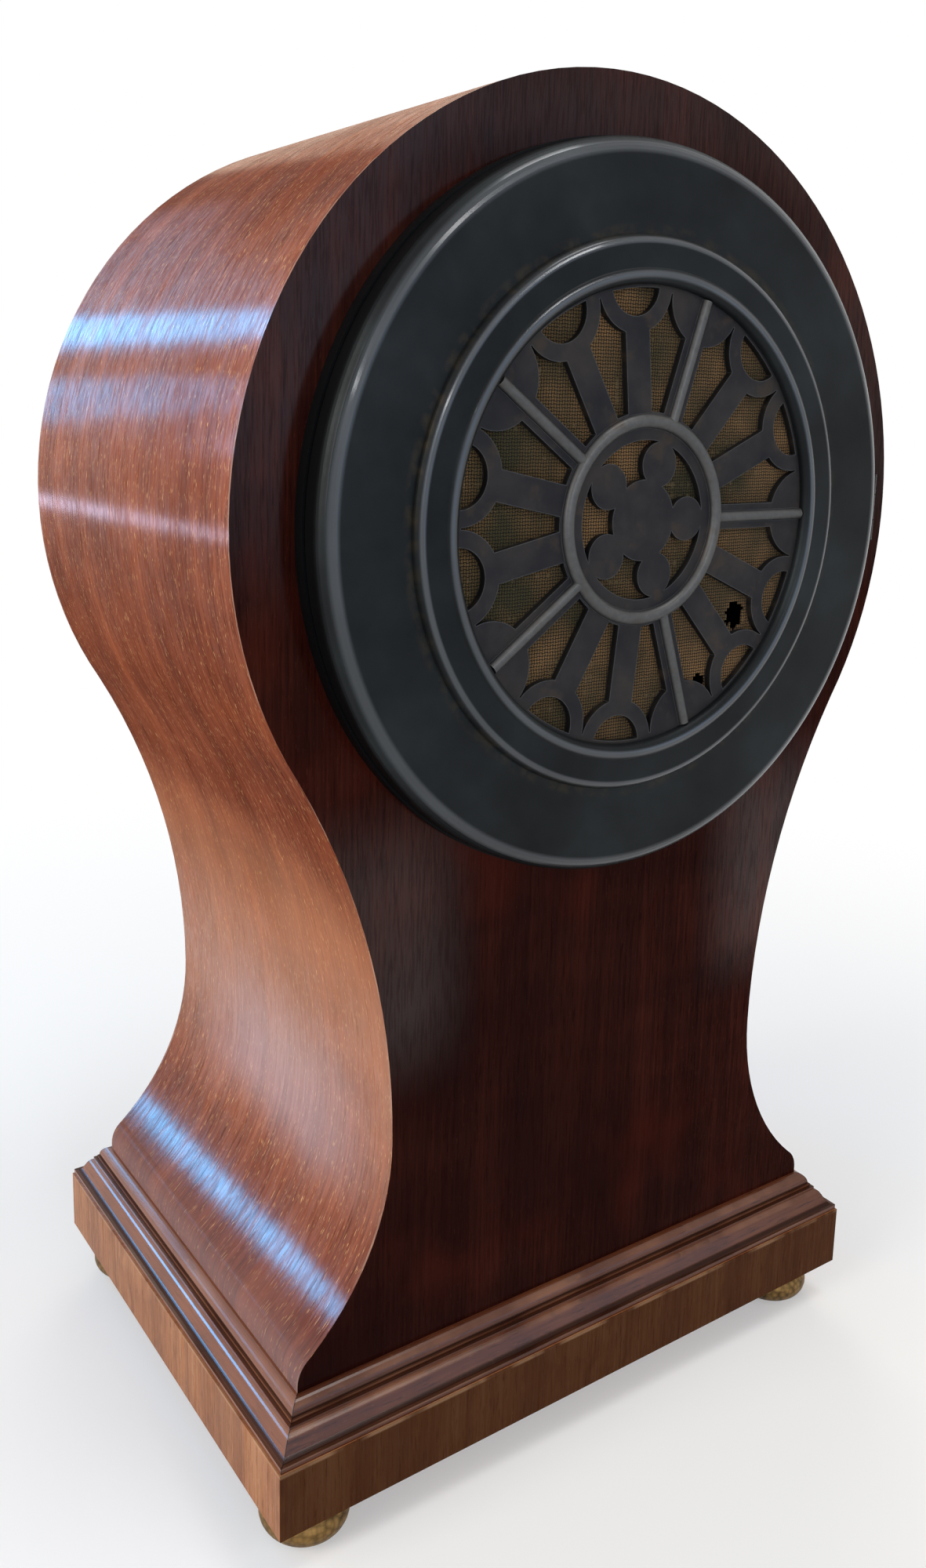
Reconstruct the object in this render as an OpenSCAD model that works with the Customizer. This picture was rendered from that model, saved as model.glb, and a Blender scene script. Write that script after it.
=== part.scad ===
// Balloon mantel clock: a waisted mahogany case on a moulded plinth, with a hinged rear sound door, a hinged
// glazed bezel in front and a striking two-train pendulum movement.
// The clock stands on z = 0, its dial faces -Y and its rear door faces +Y.

/* [Case] */
// Radius of the round head
balloon_r = 90; // [86:1:96]
// Half width of the waist
waist_half = 53.6; // [51:0.2:57]
// Distance of the waist below the head's centre
waist_drop = 131; // [126:1:138]
// Radius of the flare below the waist
flare_r = 57; // [54:1:60]
// Radius of the shoulder at the foot of the body
shoulder_r = 7; // [5:0.5:8]
// Half width of the body at its foot
foot_half = 76.2; // [74:0.2:79]
// Height of the upright edge under the shoulder
foot_lip = 1.4; // [1:0.2:3]
// Depth of the body from front to back
case_depth = 109; // [106:1:120]
// Thickness of the bent side band
band_t = 6; // [4:0.5:8]
// Thickness of the front and back boards
board_t = 7; // [6:0.5:9]
// Inner radius of the boxwood line round the front bezel
stringing_r = 70; // [66:1:76]
// Width of the boxwood line
stringing_w = 1.2; // [0.8:0.2:2]
// Depth of the boxwood line in the board
stringing_t = 0.8; // [0.5:0.1:1.5]

/* [Plinth] */
// Height of the block
block_h = 15.5; // [12:0.5:22]
// Overhang of the block beyond the body on every side
overhang = 8.5; // [7:0.5:12]
// Height of the moulding
moulding_h = 9.5; // [8:0.5:12]
// How far the moulding's strips reach in under the body
moulding_in = 15; // [10:1:20]
// Reveal between the block's edge and the moulding
reveal = 0.4; // [0.2:0.1:0.8]

/* [Feet] */
// Height of a bun foot
foot_h = 10.5; // [7:0.5:14]
// Radius of a bun foot
foot_r = 10; // [8:0.5:12]
// Distance of a foot's centre from the block's edges
foot_inset = 12; // [12:0.5:20]
// Radius of the spigot that holds a foot
foot_spigot_r = 3; // [2:0.5:4]
// Length of the spigot
foot_spigot_h = 8; // [5:1:10]

/* [Bezels] */
// Radius of the round opening in each board
opening_r = 53; // [52:0.5:56]
// Clear radius through both bezel rings
bezel_bore_r = 47; // [46:0.5:48]
// Thickness of a bezel ring's flange
flange_t = 2.8; // [2.5:0.1:3.2]
// Depth of a bezel ring's spigot in the board
spigot_h = 4.5; // [3:0.5:5]
// Radius of the rear bezel ring
rear_bezel_r = 76.9; // [74:0.5:80]
// Radius of the front bezel ring
front_bezel_r = 61; // [59:0.5:64]
// Height of both doors above the case
door_rise = 12.2; // [11.6:0.1:14]
// Radius of a hinge knuckle
knuckle_r = 2; // [1.8:0.1:2.2]
// Radius of a hinge pin
hinge_pin_r = 0.8; // [0.6:0.1:1]
// Length of a hinge
hinge_len = 16; // [12:1:24]

/* [Rear door] */
// Radius of the rounded edge
lip_r = 3.6; // [3:0.1:4.2]
// Height of the broad flat above the case
lip_rise = 9.8; // [9:0.1:10.4]
// Radius of the step inside the flat
step_r = 57.6; // [56:0.2:60]
// Radius of the rim bead's crest
rim_bead_r = 49.7; // [49:0.1:50.2]
// Radius of the rim bead's section
bead_r = 1.9; // [1.6:0.1:2]
// Thickness of the spun metal
spun_t = 1.6; // [1.2:0.1:2]
// Thickness of the fret plate
fret_t = 1.6; // [1.2:0.1:2]
// Width of a plain bar of the fret
plain_bar_w = 6.4; // [5:0.2:7]
// Width of a ribbed bar of the fret
ribbed_bar_w = 5.4; // [4:0.2:6.4]
// Radius of a half-round eye at the end of a plain bar
eye_r = 6.4; // [5:0.2:7]
// Radius of the hub ring's bead
hub_bead_r = 20.6; // [19:0.2:22]
// Thickness of the sound cloth
cloth_t = 0.6; // [0.4:0.1:0.8]

/* [Dial and hands] */
// Radius of the dial
dial_r = 48.8; // [48.4:0.1:49]
// Thickness of the dial
dial_t = 1.2; // [0.8:0.1:1.6]
// Thickness of the glass
glass_t = 1.5; // [1.2:0.1:2]
// Length of the minute hand
minute_hand_l = 41; // [36:1:44]
// Length of the hour hand
hour_hand_l = 28; // [22:1:32]
// Hour that the hands show
show_hour = 10; // [0:1:11]
// Minute that the hands show
show_minute = 8; // [0:1:59]

/* [Movement] */
// Radius of the movement plates
plate_r = 44; // [43:0.5:46]
// Thickness of the movement plates
plate_t = 2.2; // [1.8:0.1:3]
// Distance between the movement plates
plate_gap = 29.5; // [29:0.5:32]
// Space between the front plate and the dial
under_dial = 8.3; // [8:0.1:9]
// Radius of a barrel drum
drum_r = 17.2; // [16:0.2:17.6]
// Length of the pendulum from its suspension to the bob's centre
pendulum_l = 120; // [110:1:130]
// Radius of the pendulum bob
bob_r = 15; // [12:0.5:18]
// Half thickness of the pendulum bob
bob_half = 4.5; // [3.5:0.5:6]
// Radius of the bell's mouth
bell_r = 24; // [22:0.2:24]

/* [Hidden] */
$fn = 96;

// Clearances: a running fit, a driven fit, a seat and the gap between a door and its ring
run_fit = 0.05;
drive_fit = 0.02;
seat_fit = 0.1;
door_gap = 0.3;

// Outline of the body: arcs that meet tangentially, crossing by a hair so that they join cleanly
arc_cross = 0.04;
waist_r = (pow(waist_half, 2) + pow(waist_drop, 2) - pow(balloon_r, 2)) / (2 * (balloon_r - waist_half));
waist_cx = waist_half + waist_r;
flare_cx = waist_half + flare_r;
shoulder_cx = foot_half - shoulder_r;
shoulder_drop = waist_drop + sqrt(pow(flare_r + shoulder_r, 2) - pow(flare_cx - shoulder_cx, 2));
body_drop = shoulder_drop + foot_lip;
neck_angle = atan2(-waist_drop, waist_cx);
neck_x = balloon_r * cos(neck_angle);
neck_drop = -balloon_r * sin(neck_angle);
flare_end = 180 + acos((flare_cx - shoulder_cx) / (flare_r + shoulder_r));
flare_end_x = flare_cx + flare_r * cos(flare_end);
flare_end_drop = waist_drop - flare_r * sin(flare_end);

// Heights and places of the case
block_w = 2 * (foot_half + overhang);
block_d = case_depth + 2 * overhang;
block_z = foot_h;
moulding_z = block_z + block_h;
body_z = moulding_z + moulding_h;
head_z = body_z + body_drop;
case_half = case_depth / 2;
fillet_w = 0.6;
step_w = 0.8;
thumb_set = 1.2;

// Bezel rings, hinges and screws
ring_spigot_r = opening_r - seat_fit;
door_h = flange_t + door_gap;
hinge_rise = 0.4;
hinge_h = flange_t + hinge_rise;
rear_hinge_out = 2.7;
rear_hinge_x = rear_bezel_r + rear_hinge_out;
front_hinge_out = 3.7;
front_hinge_x = front_bezel_r + front_hinge_out;
rear_door_inset = 0.5;
rear_door_r = rear_bezel_r - rear_door_inset;
front_door_over = 1;
front_door_r = front_bezel_r + front_door_over;
door_knuckle_l = 0.375 * hinge_len;
knuckle_gap = 0.2;
leaf_t = 1.6;
fixed_leaf_in = 2;
door_leaf_in = 1.5;
wood_screw_r = 1.5;
wood_screw_l = 8;
screw_head_r = 2.4;
screw_head_h = 1.4;
rear_screw_ring_r = 64;
front_screw_ring_r = 56.6;
strap_screw_r = 1.2;
strap_t = 1.5;
strap_w = 8;
strap_angle = -20;
strap_r = bezel_bore_r + 1;
strap_head_r = 1.8;
strap_screw_ring_r = strap_r + strap_t + strap_screw_r + seat_fit;
strap_foot_gap = 0.4;
strap_foot = ring_spigot_r - strap_r - strap_foot_gap;

// Rear door: the fret, the cloth and its ring lie in a recess behind the inner bead
recess_r = 50.5;
fret_r = recess_r - seat_fit;
fret_sink = 2.3;
fret_top = door_rise - fret_sink;
fret_h = fret_top - fret_t;
cloth_h = fret_h - cloth_t;
cloth_ring_t = 2;
cloth_ring_in = 1;
door_back_gap = 0.2;
door_back_h = cloth_h - cloth_ring_t - door_back_gap;
sight_r = rim_bead_r - bead_r;
rim_h = 0.5;
band_h = door_rise - rim_h;
rim_wall = 2;
edge_wall = 2.5;
fret_bars = 15;
bar_step = 360 / fret_bars;
fret_lap = 0.2;
web_gap = 0.14;
lancet_gap = 0.4;
eye_rim = 0.6;
rib_gap = 0.3;
hub_flat_in = 3.9;
hub_flat_out = 1.9;
web_ring_r = sight_r + fret_lap;
web_r = web_ring_r * sin(bar_step / 2) - web_gap;
lancet_end_r = web_ring_r * cos(bar_step / 2) - lancet_gap;
hub_ring_in = hub_bead_r - hub_flat_in;
hub_ring_out = hub_bead_r + hub_flat_out;
lobe_ring_r = 0.73 * hub_ring_in;
lobe_r = hub_ring_in - lobe_ring_r + fret_lap;
rosette_core_r = 0.51 * hub_ring_in;
rib_r = 1.25;
hub_bead_t = 1.5;

// Dial, glass and hands: heights above the front face of the case
dial_sink = 0.8;
dial_seat_r = dial_r + seat_fit;
dial_top_h = dial_t - dial_sink;
hour_hand_lift = 1.6;
hour_hand_h = dial_top_h + hour_hand_lift;
minute_hand_lift = 1.4;
minute_hand_h = hour_hand_h + minute_hand_lift;
hand_t = 0.5;
hand_root_half = 0.9;
hand_tip_half = 0.35;
hand_hub_wall = 1.2;
pipe_gap = 0.5;
glass_sink = 3.8;
glass_top_h = door_rise - glass_sink;
glass_r = 50.5;
sight_ring_t = 1.6;
sight_ring_in = 46.6;
glass_lip = 0.8;
glass_lip_h = 0.6;
bezel_crest_in = 11.4;
bezel_crest_r = 1.8;
bezel_edge_r = 2.5;
bezel_edge_up = 1.7;
bezel_cove_drop = 0.2;
bezel_ledge = 3;
bezel_ledge_h = 0.6;
bezel_groove = 1.6;
bezel_groove_h = 2.4;
bezel_wall = 2;

// Movement: depths are counted from the inner face of the back plate towards the dial
front_plate_w = plate_gap;
front_plate_face = plate_gap + plate_t;
dial_back_w = front_plate_face + under_dial;
back_plate_y = -case_half + dial_sink + dial_back_w;
case_front_w = dial_back_w + dial_sink;
pivot_r = 0.6;
arbor_r = 0.9;
fine_arbor_r = 0.6;
end_shake = 0.3;
pivot_short = 0.1;
pivot_in = 1;
wheel_rim = 1.6;
wheel_spoke = 1.6;
wheel_hub_r = 3;

// Teeth: shares of the module or of the pitch
wheel_add = 0.7;
pinion_add = 0.5;
tooth_ded = 1.1;
wheel_root = 0.5;
pinion_root = 0.45;
tooth_tip = 0.2;

// Going train
great_n = 84;
great_m = 0.45;
centre_pinion_n = 12;
centre_n = 84;
centre_m = 0.36;
third_pinion_n = 7;
third_n = 84;
third_m = 0.25;
escape_pinion_n = 7;
escape_n = 36;
escape_r = 9;
escape_tooth_h = 1.4;
escape_rim = 2.6;
escape_hub_r = 2;
escape_spoke = 1.2;
// Motion work
cannon_n = 14;
minute_n = 42;
motion_m = 0.5;
minute_pinion_n = 12;
hour_n = 48;
motion_d = motion_m * (cannon_n + minute_n) / 2;
hour_m = 2 * motion_d / (minute_pinion_n + hour_n);
// Strike train
second_pinion_n = 12;
second_n = 72;
second_m = 0.28;
pin_pinion_n = 8;
pin_n = 63;
pin_m = 0.25;
pin_pinion_t = 1.8;
pin_hub_r = 2;
lift_pins = 9;
lift_pin_ring_r = 6.9;
lift_pin_r = 0.4;
lift_pin_l = 2.5;
fly_pinion_n = 7;
fly_half = 7;
fly_t = 0.6;
fly_l = 12;
fly_w = 13;
fly_pipe_r = 1;

// Places of the arbors, seen from the front, from the head's centre
function polar(r, a) = [r * cos(a), r * sin(a)];
function bearing(p, q) = atan2(q[1] - p[1], q[0] - p[0]);
function mesh_d(n1, n2, m) = m * (n1 + n2) / 2;
centre_at = [0, 0];
going_at = polar(mesh_d(great_n, centre_pinion_n, great_m), -25);
strike_at = [-going_at[0], going_at[1]];
third_at = polar(mesh_d(centre_n, third_pinion_n, centre_m), 55);
escape_d = mesh_d(third_n, escape_pinion_n, third_m);
anchor_d = 12.4;
escape_at = [0, third_at[1] + sqrt(pow(escape_d, 2) - pow(third_at[0], 2))];
anchor_at = escape_at + [0, anchor_d];
second_at = strike_at + polar(mesh_d(great_n, second_pinion_n, great_m), 74);
pin_at = second_at + polar(mesh_d(second_n, pin_pinion_n, second_m), 139);
fly_at = pin_at + polar(mesh_d(pin_n, fly_pinion_n, pin_m), 49);
minute_at = [0, motion_d];
hammer_at = [-35, 16];
bell_at = [-20, -6];
pillar_ring_r = 38;
pillar_angles = [40, 165, 250, 290];
dial_feet_ring_r = 36;
dial_feet_angles = [90, 210, 330];
dial_foot_r = 1.4;
pillar_r = 2.6;
pillar_waist_r = 1.9;
pillar_collar = 3;
pillar_neck = 4;
pillar_bore = 6;
pillar_screw_l = 5;
minute_post_l = 6;
click_pin_l = 2.4;

// Depths of the wheels along their arbors
going_great_w = 2;
great_t = 2.5;
drum_end_w = 20;
drum_h = drum_end_w - going_great_w - great_t;
strike_great_w = 18;
strike_drum_w = strike_great_w - drum_h;
centre_wheel_w = 22;
centre_wheel_t = 1.2;
third_wheel_w = 25.2;
train_t = 1;
escape_wheel_w = 5;
second_wheel_w = 0.5;
pin_wheel_w = 8;
pinion_over = 0.6;
barrel_arbor_r = 2.4;
barrel_pivot_r = 1.6;
barrel_wall = 1.2;
spring_turns = 8;
spring_t = 0.5;
spring_in_r = 4.2;
spring_gap = 0.2;
spring_end_gap = 0.5;
spring_out_r = drum_r - barrel_wall - spring_gap - spring_t;
winding_square = 3.4;
winding_hole_r = 3.2;
winding_end_h = 1.2;
ratchet_n = 24;
ratchet_r = 6.5;
ratchet_t = 1.5;
ratchet_depth = 1;
ratchet_w = front_plate_face + end_shake;
click_d = 11.2;
click_angle = -60;
click_pin_r = 0.6;
click_tip = polar(7.6, 35);
click_boss_r = 1.8;
click_w = 1.2;
centre_arbor_r = 1.25;
centre_tip = 0.9;
centre_end_w = case_front_w + minute_hand_h + hand_t + centre_tip;
cannon_r = 2;
hour_pipe_r = 2.9;
motion_gap = 0.6;
hour_wheel_gap = 3.2;
hour_wheel_w = front_plate_face + hour_wheel_gap;
motion_w = front_plate_face + motion_gap;
motion_t = 1.2;
cannon_pinion_t = 2.2;
hour_hub_r = 4.4;

// Pendulum, crutch and cock
cock_out = 8.8;
cock_w = -plate_t - cock_out;
cock_t = 2.8;
cock_half = 10;
cock_below = 4;
cock_above = 8;
cock_foot_w = 3.5;
lug_up = 1.3;
lug_d = 6;
pendulum_w = cock_w - lug_d / 2;
rod_r = 1.1;
rod_end = 5;
bob_wall = 0.6;
bob_rim_half = rod_r + bob_wall;
nut_gap = 0.1;
nut_r = 3.5;
nut_h = 2.5;
spring_strip_w = 4.8;
spring_strip_t = 0.2;
spring_up = 6.3;
spring_down = 9.7;
chop_half = 2;
chop_h = 4.2;
chop_lap = 1.5;
chop_over = 0.1;
pallet_clear = 1.5;
pallet_angle = 50;
pallet_boss_r = 2.2;
pallet_w = 1.2;
pallet_over = 0.4;
crutch_l = 24;
crutch_t = 1.6;
crutch_boss_r = 2;
fork_bar = 2;
fork_gap = 0.3;
fork_past = 2.5;
crutch_out = 4.6;
crutch_w = -plate_t - crutch_out;
fork_r = 0.7;
slit_half = 0.65;
slit_over = 0.4;
lug_half = 4;

// Bell and hammer
bell_clear = 4.5;
bell_mouth_w = pendulum_w - bell_clear;
bell_depth = 15;
bell_t = 1.5;
bell_steps = 12;
bell_crown = (bell_depth - bell_t) * cos(90 / bell_steps);
bell_post_r = 1.6;
bell_pillar_r = 2.4;
bell_foot_r = 4;
bell_foot_h = 2;
bell_post_past = 4;
bell_nut_r = 3.4;
bell_nut_h = 3;
hammer_head_r = 2.2;
hammer_head_l = 6;
hammer_gap = 0.5;
hammer_bearing = 158;
hammer_in = 2.6;
hammer_w = bell_mouth_w - hammer_in;
hammer_arm = 1.6;
hammer_boss_r = 1.8;
hammer_tail_l = 5.4;
hammer_tail_w = 1.4;
hammer_tail_t = 1;
hammer_tail_up = 1.6;
hammer_at_bell = bell_at + polar(bell_r + hammer_gap + hammer_head_r, hammer_bearing);

mahogany = "#8a4520";
dark_mahogany = "#3a1712";
brass = "#b08d3c";
bronze = "#3c4240";
steel = "#8d9196";

// Helpers that stand a flat drawing upright
module rear_face() {
    translate([0, case_half, head_z]) rotate([-90, 0, 0]) children();
}

module front_face() {
    translate([0, -case_half, head_z]) rotate([90, 0, 0]) children();
}

module in_case(y) {
    translate([0, y, head_z]) rotate([90, 0, 0]) children();
}

module at(p, w = 0) {
    translate([p[0], back_plate_y - w, head_z + p[1]]) rotate([90, 0, 0]) children();
}

module wedge(a0, a1, len) {
    polygon([[0, 0], polar(len, a0), polar(len, (a0 + a1) / 2), polar(len, a1)]);
}

module bar(p, q, w) {
    translate(p) rotate(bearing(p, q)) translate([0, -w / 2]) square([norm(q - p), w]);
}

module ring(r_out, r_in, h) {
    difference() {
        cylinder(r = r_out, h = h);
        translate([0, 0, -1]) cylinder(r = r_in, h = h + 2);
    }
}

function arc(c, r, a0, a1, n) = [for (i = [0:n]) c + polar(r, a0 + (a1 - a0) * i / n)];

// Case
module shoulders(grow = 0) {
    for (s = [-1, 1]) translate([s * shoulder_cx, -shoulder_drop]) circle(shoulder_r + grow);
}

module outline() {
    circle(balloon_r);
    difference() {
        translate([-neck_x, -waist_drop]) square([2 * neck_x, waist_drop - neck_drop]);
        for (s = [-1, 1]) translate([s * waist_cx, -waist_drop]) circle(waist_r + arc_cross);
    }
    difference() {
        translate([-flare_end_x, -flare_end_drop]) square([2 * flare_end_x, flare_end_drop - waist_drop]);
        for (s = [-1, 1]) translate([s * flare_cx, -waist_drop]) circle(flare_r + arc_cross);
    }
    translate([-shoulder_cx, -shoulder_drop]) square([2 * shoulder_cx, shoulder_drop - flare_end_drop]);
    intersection() {
        shoulders();
        translate([-foot_half, -shoulder_drop]) square([2 * foot_half, shoulder_r]);
    }
    translate([-foot_half, -body_drop]) square([2 * foot_half, foot_lip]);
}

module band(r, a0, a1) {
    intersection() {
        difference() {
            circle(r + band_t);
            circle(r);
        }
        wedge(a0, a1, 1.5 * (r + band_t));
    }
}

module between_boards() {
    in_case(case_half - board_t) linear_extrude(case_depth - 2 * board_t) children();
}

module case_hood() {
    color(mahogany) between_boards() difference() {
        circle(balloon_r);
        circle(balloon_r - band_t);
        rotate(-90) wedge(-90 - neck_angle, 90 + neck_angle, 2 * balloon_r);
    }
}

module case_side() {
    color(mahogany) between_boards() {
        translate([waist_cx, -waist_drop]) band(waist_r, 180 + neck_angle, 180);
        translate([flare_cx, -waist_drop]) band(flare_r, 180, flare_end);
        intersection() {
            union() {
                shoulders(arc_cross);
                translate([0, -body_drop]) square([foot_half, foot_lip]);
            }
            translate([shoulder_cx - band_t / 2, -body_drop]) square([2 * shoulder_r, 3 * shoulder_r]);
        }
    }
}

module case_side_left() {
    mirror([1, 0, 0]) case_side();
}

module case_side_right() {
    case_side();
}

module screw_ring(ring_r) {
    for (a = [30, 150, 270]) rotate(a) translate([ring_r, 0]) children();
}

module case_front_board() {
    color(mahogany) difference() {
        in_case(-case_half + board_t) linear_extrude(board_t) outline();
        front_face() {
            translate([0, 0, -board_t - 1]) cylinder(r = opening_r, h = board_t + 2);
            translate([0, 0, -stringing_t]) ring(stringing_r + stringing_w, stringing_r, stringing_t + 1);
            screw_ring(front_screw_ring_r) translate([0, 0, -board_t - 1])
                cylinder(r = wood_screw_r + run_fit, h = board_t + 2);
        }
    }
}

module case_back_board() {
    color(dark_mahogany) difference() {
        in_case(case_half) linear_extrude(board_t) outline();
        rear_face() {
            translate([0, 0, -board_t - 1]) cylinder(r = opening_r, h = board_t + 2);
            screw_ring(rear_screw_ring_r) translate([0, 0, -board_t - 1])
                cylinder(r = wood_screw_r + run_fit, h = board_t + 2);
        }
    }
}

module front_stringing() {
    color("wheat") front_face() translate([0, 0, -stringing_t])
        ring(stringing_r + stringing_w - drive_fit, stringing_r + drive_fit, stringing_t);
}

// Plinth and feet
module foot_places() {
    for (sx = [-1, 1], sy = [-1, 1])
        translate([sx * (block_w / 2 - foot_inset), sy * (block_d / 2 - foot_inset), 0]) children();
}

module plinth_block() {
    color(mahogany) difference() {
        translate([-block_w / 2, -block_d / 2, block_z]) cube([block_w, block_d, block_h]);
        foot_places() translate([0, 0, block_z - 1])
            cylinder(r = foot_spigot_r + run_fit, h = foot_spigot_h + 1 + seat_fit);
    }
}

// Section of the moulding: fillet, ogee, two small steps and a rounded thumb under the body
function moulding_section() =
    let (edge = overhang - reveal, fillet = 0.14 * moulding_h, step_u = 0.46 * overhang)
    let (step_z = 0.55 * moulding_h, step_h = 0.075 * moulding_h, thumb_z = step_z + 2 * step_h)
    let (ogee_u = edge - fillet_w, thumb_u = step_u - thumb_set, rise = step_z - fillet)
    concat(
        [[-moulding_in, 0], [edge, 0], [edge, fillet]],
        [for (i = [0:10]) let (t = i / 10)
            [ogee_u + (step_u - ogee_u) * t, fillet + rise * (t - 0.12 * sin(360 * t))]],
        [[step_u, step_z + step_h], [step_u - step_w, step_z + step_h], [step_u - step_w, thumb_z]],
        [for (i = [0:8]) [thumb_u * cos(11.25 * i), thumb_z + (moulding_h - thumb_z) * sin(11.25 * i)]],
        [[-moulding_in, moulding_h]]
    );

module moulding_strip(face, half_len) {
    depth = moulding_in + overhang;
    intersection() {
        translate([-half_len, face, moulding_z]) rotate([90, 0, 90]) linear_extrude(2 * half_len)
            polygon(moulding_section());
        translate([0, 0, moulding_z]) linear_extrude(moulding_h) polygon([
            [-half_len, face + overhang], [half_len, face + overhang],
            [half_len - depth, face + overhang - depth], [depth - half_len, face + overhang - depth]
        ]);
    }
}

module plinth_moulding() {
    color(mahogany) for (turn = [0, 180]) rotate(turn) {
        moulding_strip(case_half, block_w / 2);
        rotate(90) moulding_strip(foot_half, block_d / 2);
    }
}

module foot(sx, sy) {
    color(brass) translate([sx * (block_w / 2 - foot_inset), sy * (block_d / 2 - foot_inset), 0]) {
        rotate_extrude() polygon(concat(
            [[0, 0], [0.62 * foot_r, 0]],
            arc([0.62 * foot_r, 0.42 * foot_h], 0.38 * foot_r, -78, 62, 12),
            [[0.72 * foot_r, 0.86 * foot_h], [0.86 * foot_r, 0.9 * foot_h]],
            [[0.86 * foot_r, foot_h], [0, foot_h]]
        ));
        translate([0, 0, foot_h - 1]) cylinder(r = foot_spigot_r, h = foot_spigot_h + 1);
    }
}

module foot_front_left() {
    foot(-1, -1);
}

module foot_front_right() {
    foot(1, -1);
}

module foot_back_left() {
    foot(-1, 1);
}

module foot_back_right() {
    foot(1, 1);
}

// Hinge parts: the axis is upright, hinge_x out from the centre and hinge_h above the case
module knuckle(hinge_x, y0, len, bore_r) {
    translate([hinge_x, y0, hinge_h]) rotate([-90, 0, 0]) difference() {
        cylinder(r = knuckle_r, h = len);
        translate([0, 0, -1]) cylinder(r = bore_r, h = len + 2);
    }
}

module leaf(hinge_x, from_x, y0, len, h0, bore_r) {
    difference() {
        translate([from_x, y0, h0]) cube([hinge_x - from_x, len, leaf_t]);
        translate([hinge_x, y0 - 1, hinge_h]) rotate([-90, 0, 0]) cylinder(r = bore_r, h = len + 2);
    }
}

module fixed_hinge(hinge_x, flange_r) {
    len = (hinge_len - door_knuckle_l) / 2 - knuckle_gap;
    bore_r = hinge_pin_r + drive_fit;
    for (y0 = [-hinge_len / 2, hinge_len / 2 - len]) {
        knuckle(hinge_x, y0, len, bore_r);
        leaf(hinge_x, flange_r - fixed_leaf_in, y0, len, flange_t - leaf_t, bore_r);
    }
}

module door_hinge(hinge_x, door_r) {
    bore_r = hinge_pin_r + run_fit;
    knuckle(hinge_x, -door_knuckle_l / 2, door_knuckle_l, bore_r);
    leaf(hinge_x, door_r - door_leaf_in, -door_knuckle_l / 2, door_knuckle_l, door_h, bore_r);
}

module hinge_pin(hinge_x) {
    color(steel) translate([hinge_x, -hinge_len / 2, hinge_h]) rotate([-90, 0, 0])
        cylinder(r = hinge_pin_r, h = hinge_len);
}

// Straps: two, one each side, set a little below the middle
module strap_places() {
    for (a = [strap_angle, 180 - strap_angle]) rotate(a) children();
}

module strap_holes() {
    strap_places() translate([strap_screw_ring_r, 0, -spigot_h - strap_t - 1])
        cylinder(r = strap_screw_r + run_fit, h = spigot_h + strap_t + flange_t + 2);
    strap_places() translate([strap_screw_ring_r, 0, flange_t - screw_head_h])
        cylinder(r = strap_head_r + run_fit, h = screw_head_h + 1);
}

module wood_holes(ring_r) {
    screw_ring(ring_r) translate([0, 0, -1]) cylinder(r = wood_screw_r + run_fit, h = flange_t + 2);
}

module rear_bezel_ring() {
    color(bronze) mirror([1, 0, 0]) rear_face() {
        difference() {
            rotate_extrude() polygon([
                [bezel_bore_r, -spigot_h], [ring_spigot_r, -spigot_h], [ring_spigot_r, 0],
                [rear_bezel_r, 0], [rear_bezel_r, flange_t], [bezel_bore_r, flange_t]
            ]);
            mirror([0, 1, 0]) strap_holes();
            mirror([1, 0, 0]) wood_holes(rear_screw_ring_r);
        }
        fixed_hinge(rear_hinge_x, rear_bezel_r);
    }
}

module front_bezel_ring() {
    color(brass) front_face() {
        difference() {
            rotate_extrude() polygon([
                [bezel_bore_r, -spigot_h], [ring_spigot_r, -spigot_h], [ring_spigot_r, 0],
                [front_bezel_r, 0], [front_bezel_r, flange_t], [dial_seat_r, flange_t],
                [dial_seat_r, -dial_sink], [bezel_bore_r, -dial_sink]
            ]);
            strap_holes();
            wood_holes(front_screw_ring_r);
        }
        fixed_hinge(front_hinge_x, front_bezel_r);
    }
}

module screw(shank_r, len, head_r = screw_head_r) {
    cylinder(r = head_r, h = screw_head_h);
    translate([0, 0, -len]) cylinder(r = shank_r, h = len + screw_head_h / 2);
}

module bezel_screws() {
    color(brass) {
        rear_face() screw_ring(rear_screw_ring_r) translate([0, 0, flange_t])
            screw(wood_screw_r, wood_screw_l);
        front_face() screw_ring(front_screw_ring_r) translate([0, 0, flange_t])
            screw(wood_screw_r, wood_screw_l);
    }
}

module movement_straps() {
    reach = case_depth - 2 * spigot_h;
    color(steel) front_face() difference() {
        strap_places() {
            translate([strap_r, -strap_w / 2, -spigot_h - reach]) cube([strap_t, strap_w, reach]);
            for (z = [-spigot_h - strap_t, -spigot_h - reach])
                translate([strap_r, -strap_w / 2, z]) cube([strap_foot, strap_w, strap_t]);
        }
        strap_places() translate([strap_screw_ring_r, 0, -case_depth])
            cylinder(r = strap_screw_r + run_fit, h = case_depth);
    }
}

module strap_screws() {
    len = flange_t - screw_head_h + spigot_h + strap_t;
    color(steel) {
        front_face() strap_places() translate([strap_screw_ring_r, 0, flange_t - screw_head_h])
            screw(strap_screw_r, len, strap_head_r);
        rear_face() mirror([0, 1, 0]) strap_places()
            translate([strap_screw_ring_r, 0, flange_t - screw_head_h])
                screw(strap_screw_r, len, strap_head_r);
    }
}

// Rear door
// Rounded edge from radius r at height z, in by w and up by h
function quarter_round(r, z, w, h) =
    [for (i = [0:8]) [r - w + w * cos(11.25 * i), z + h * sin(11.25 * i)]];

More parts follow.
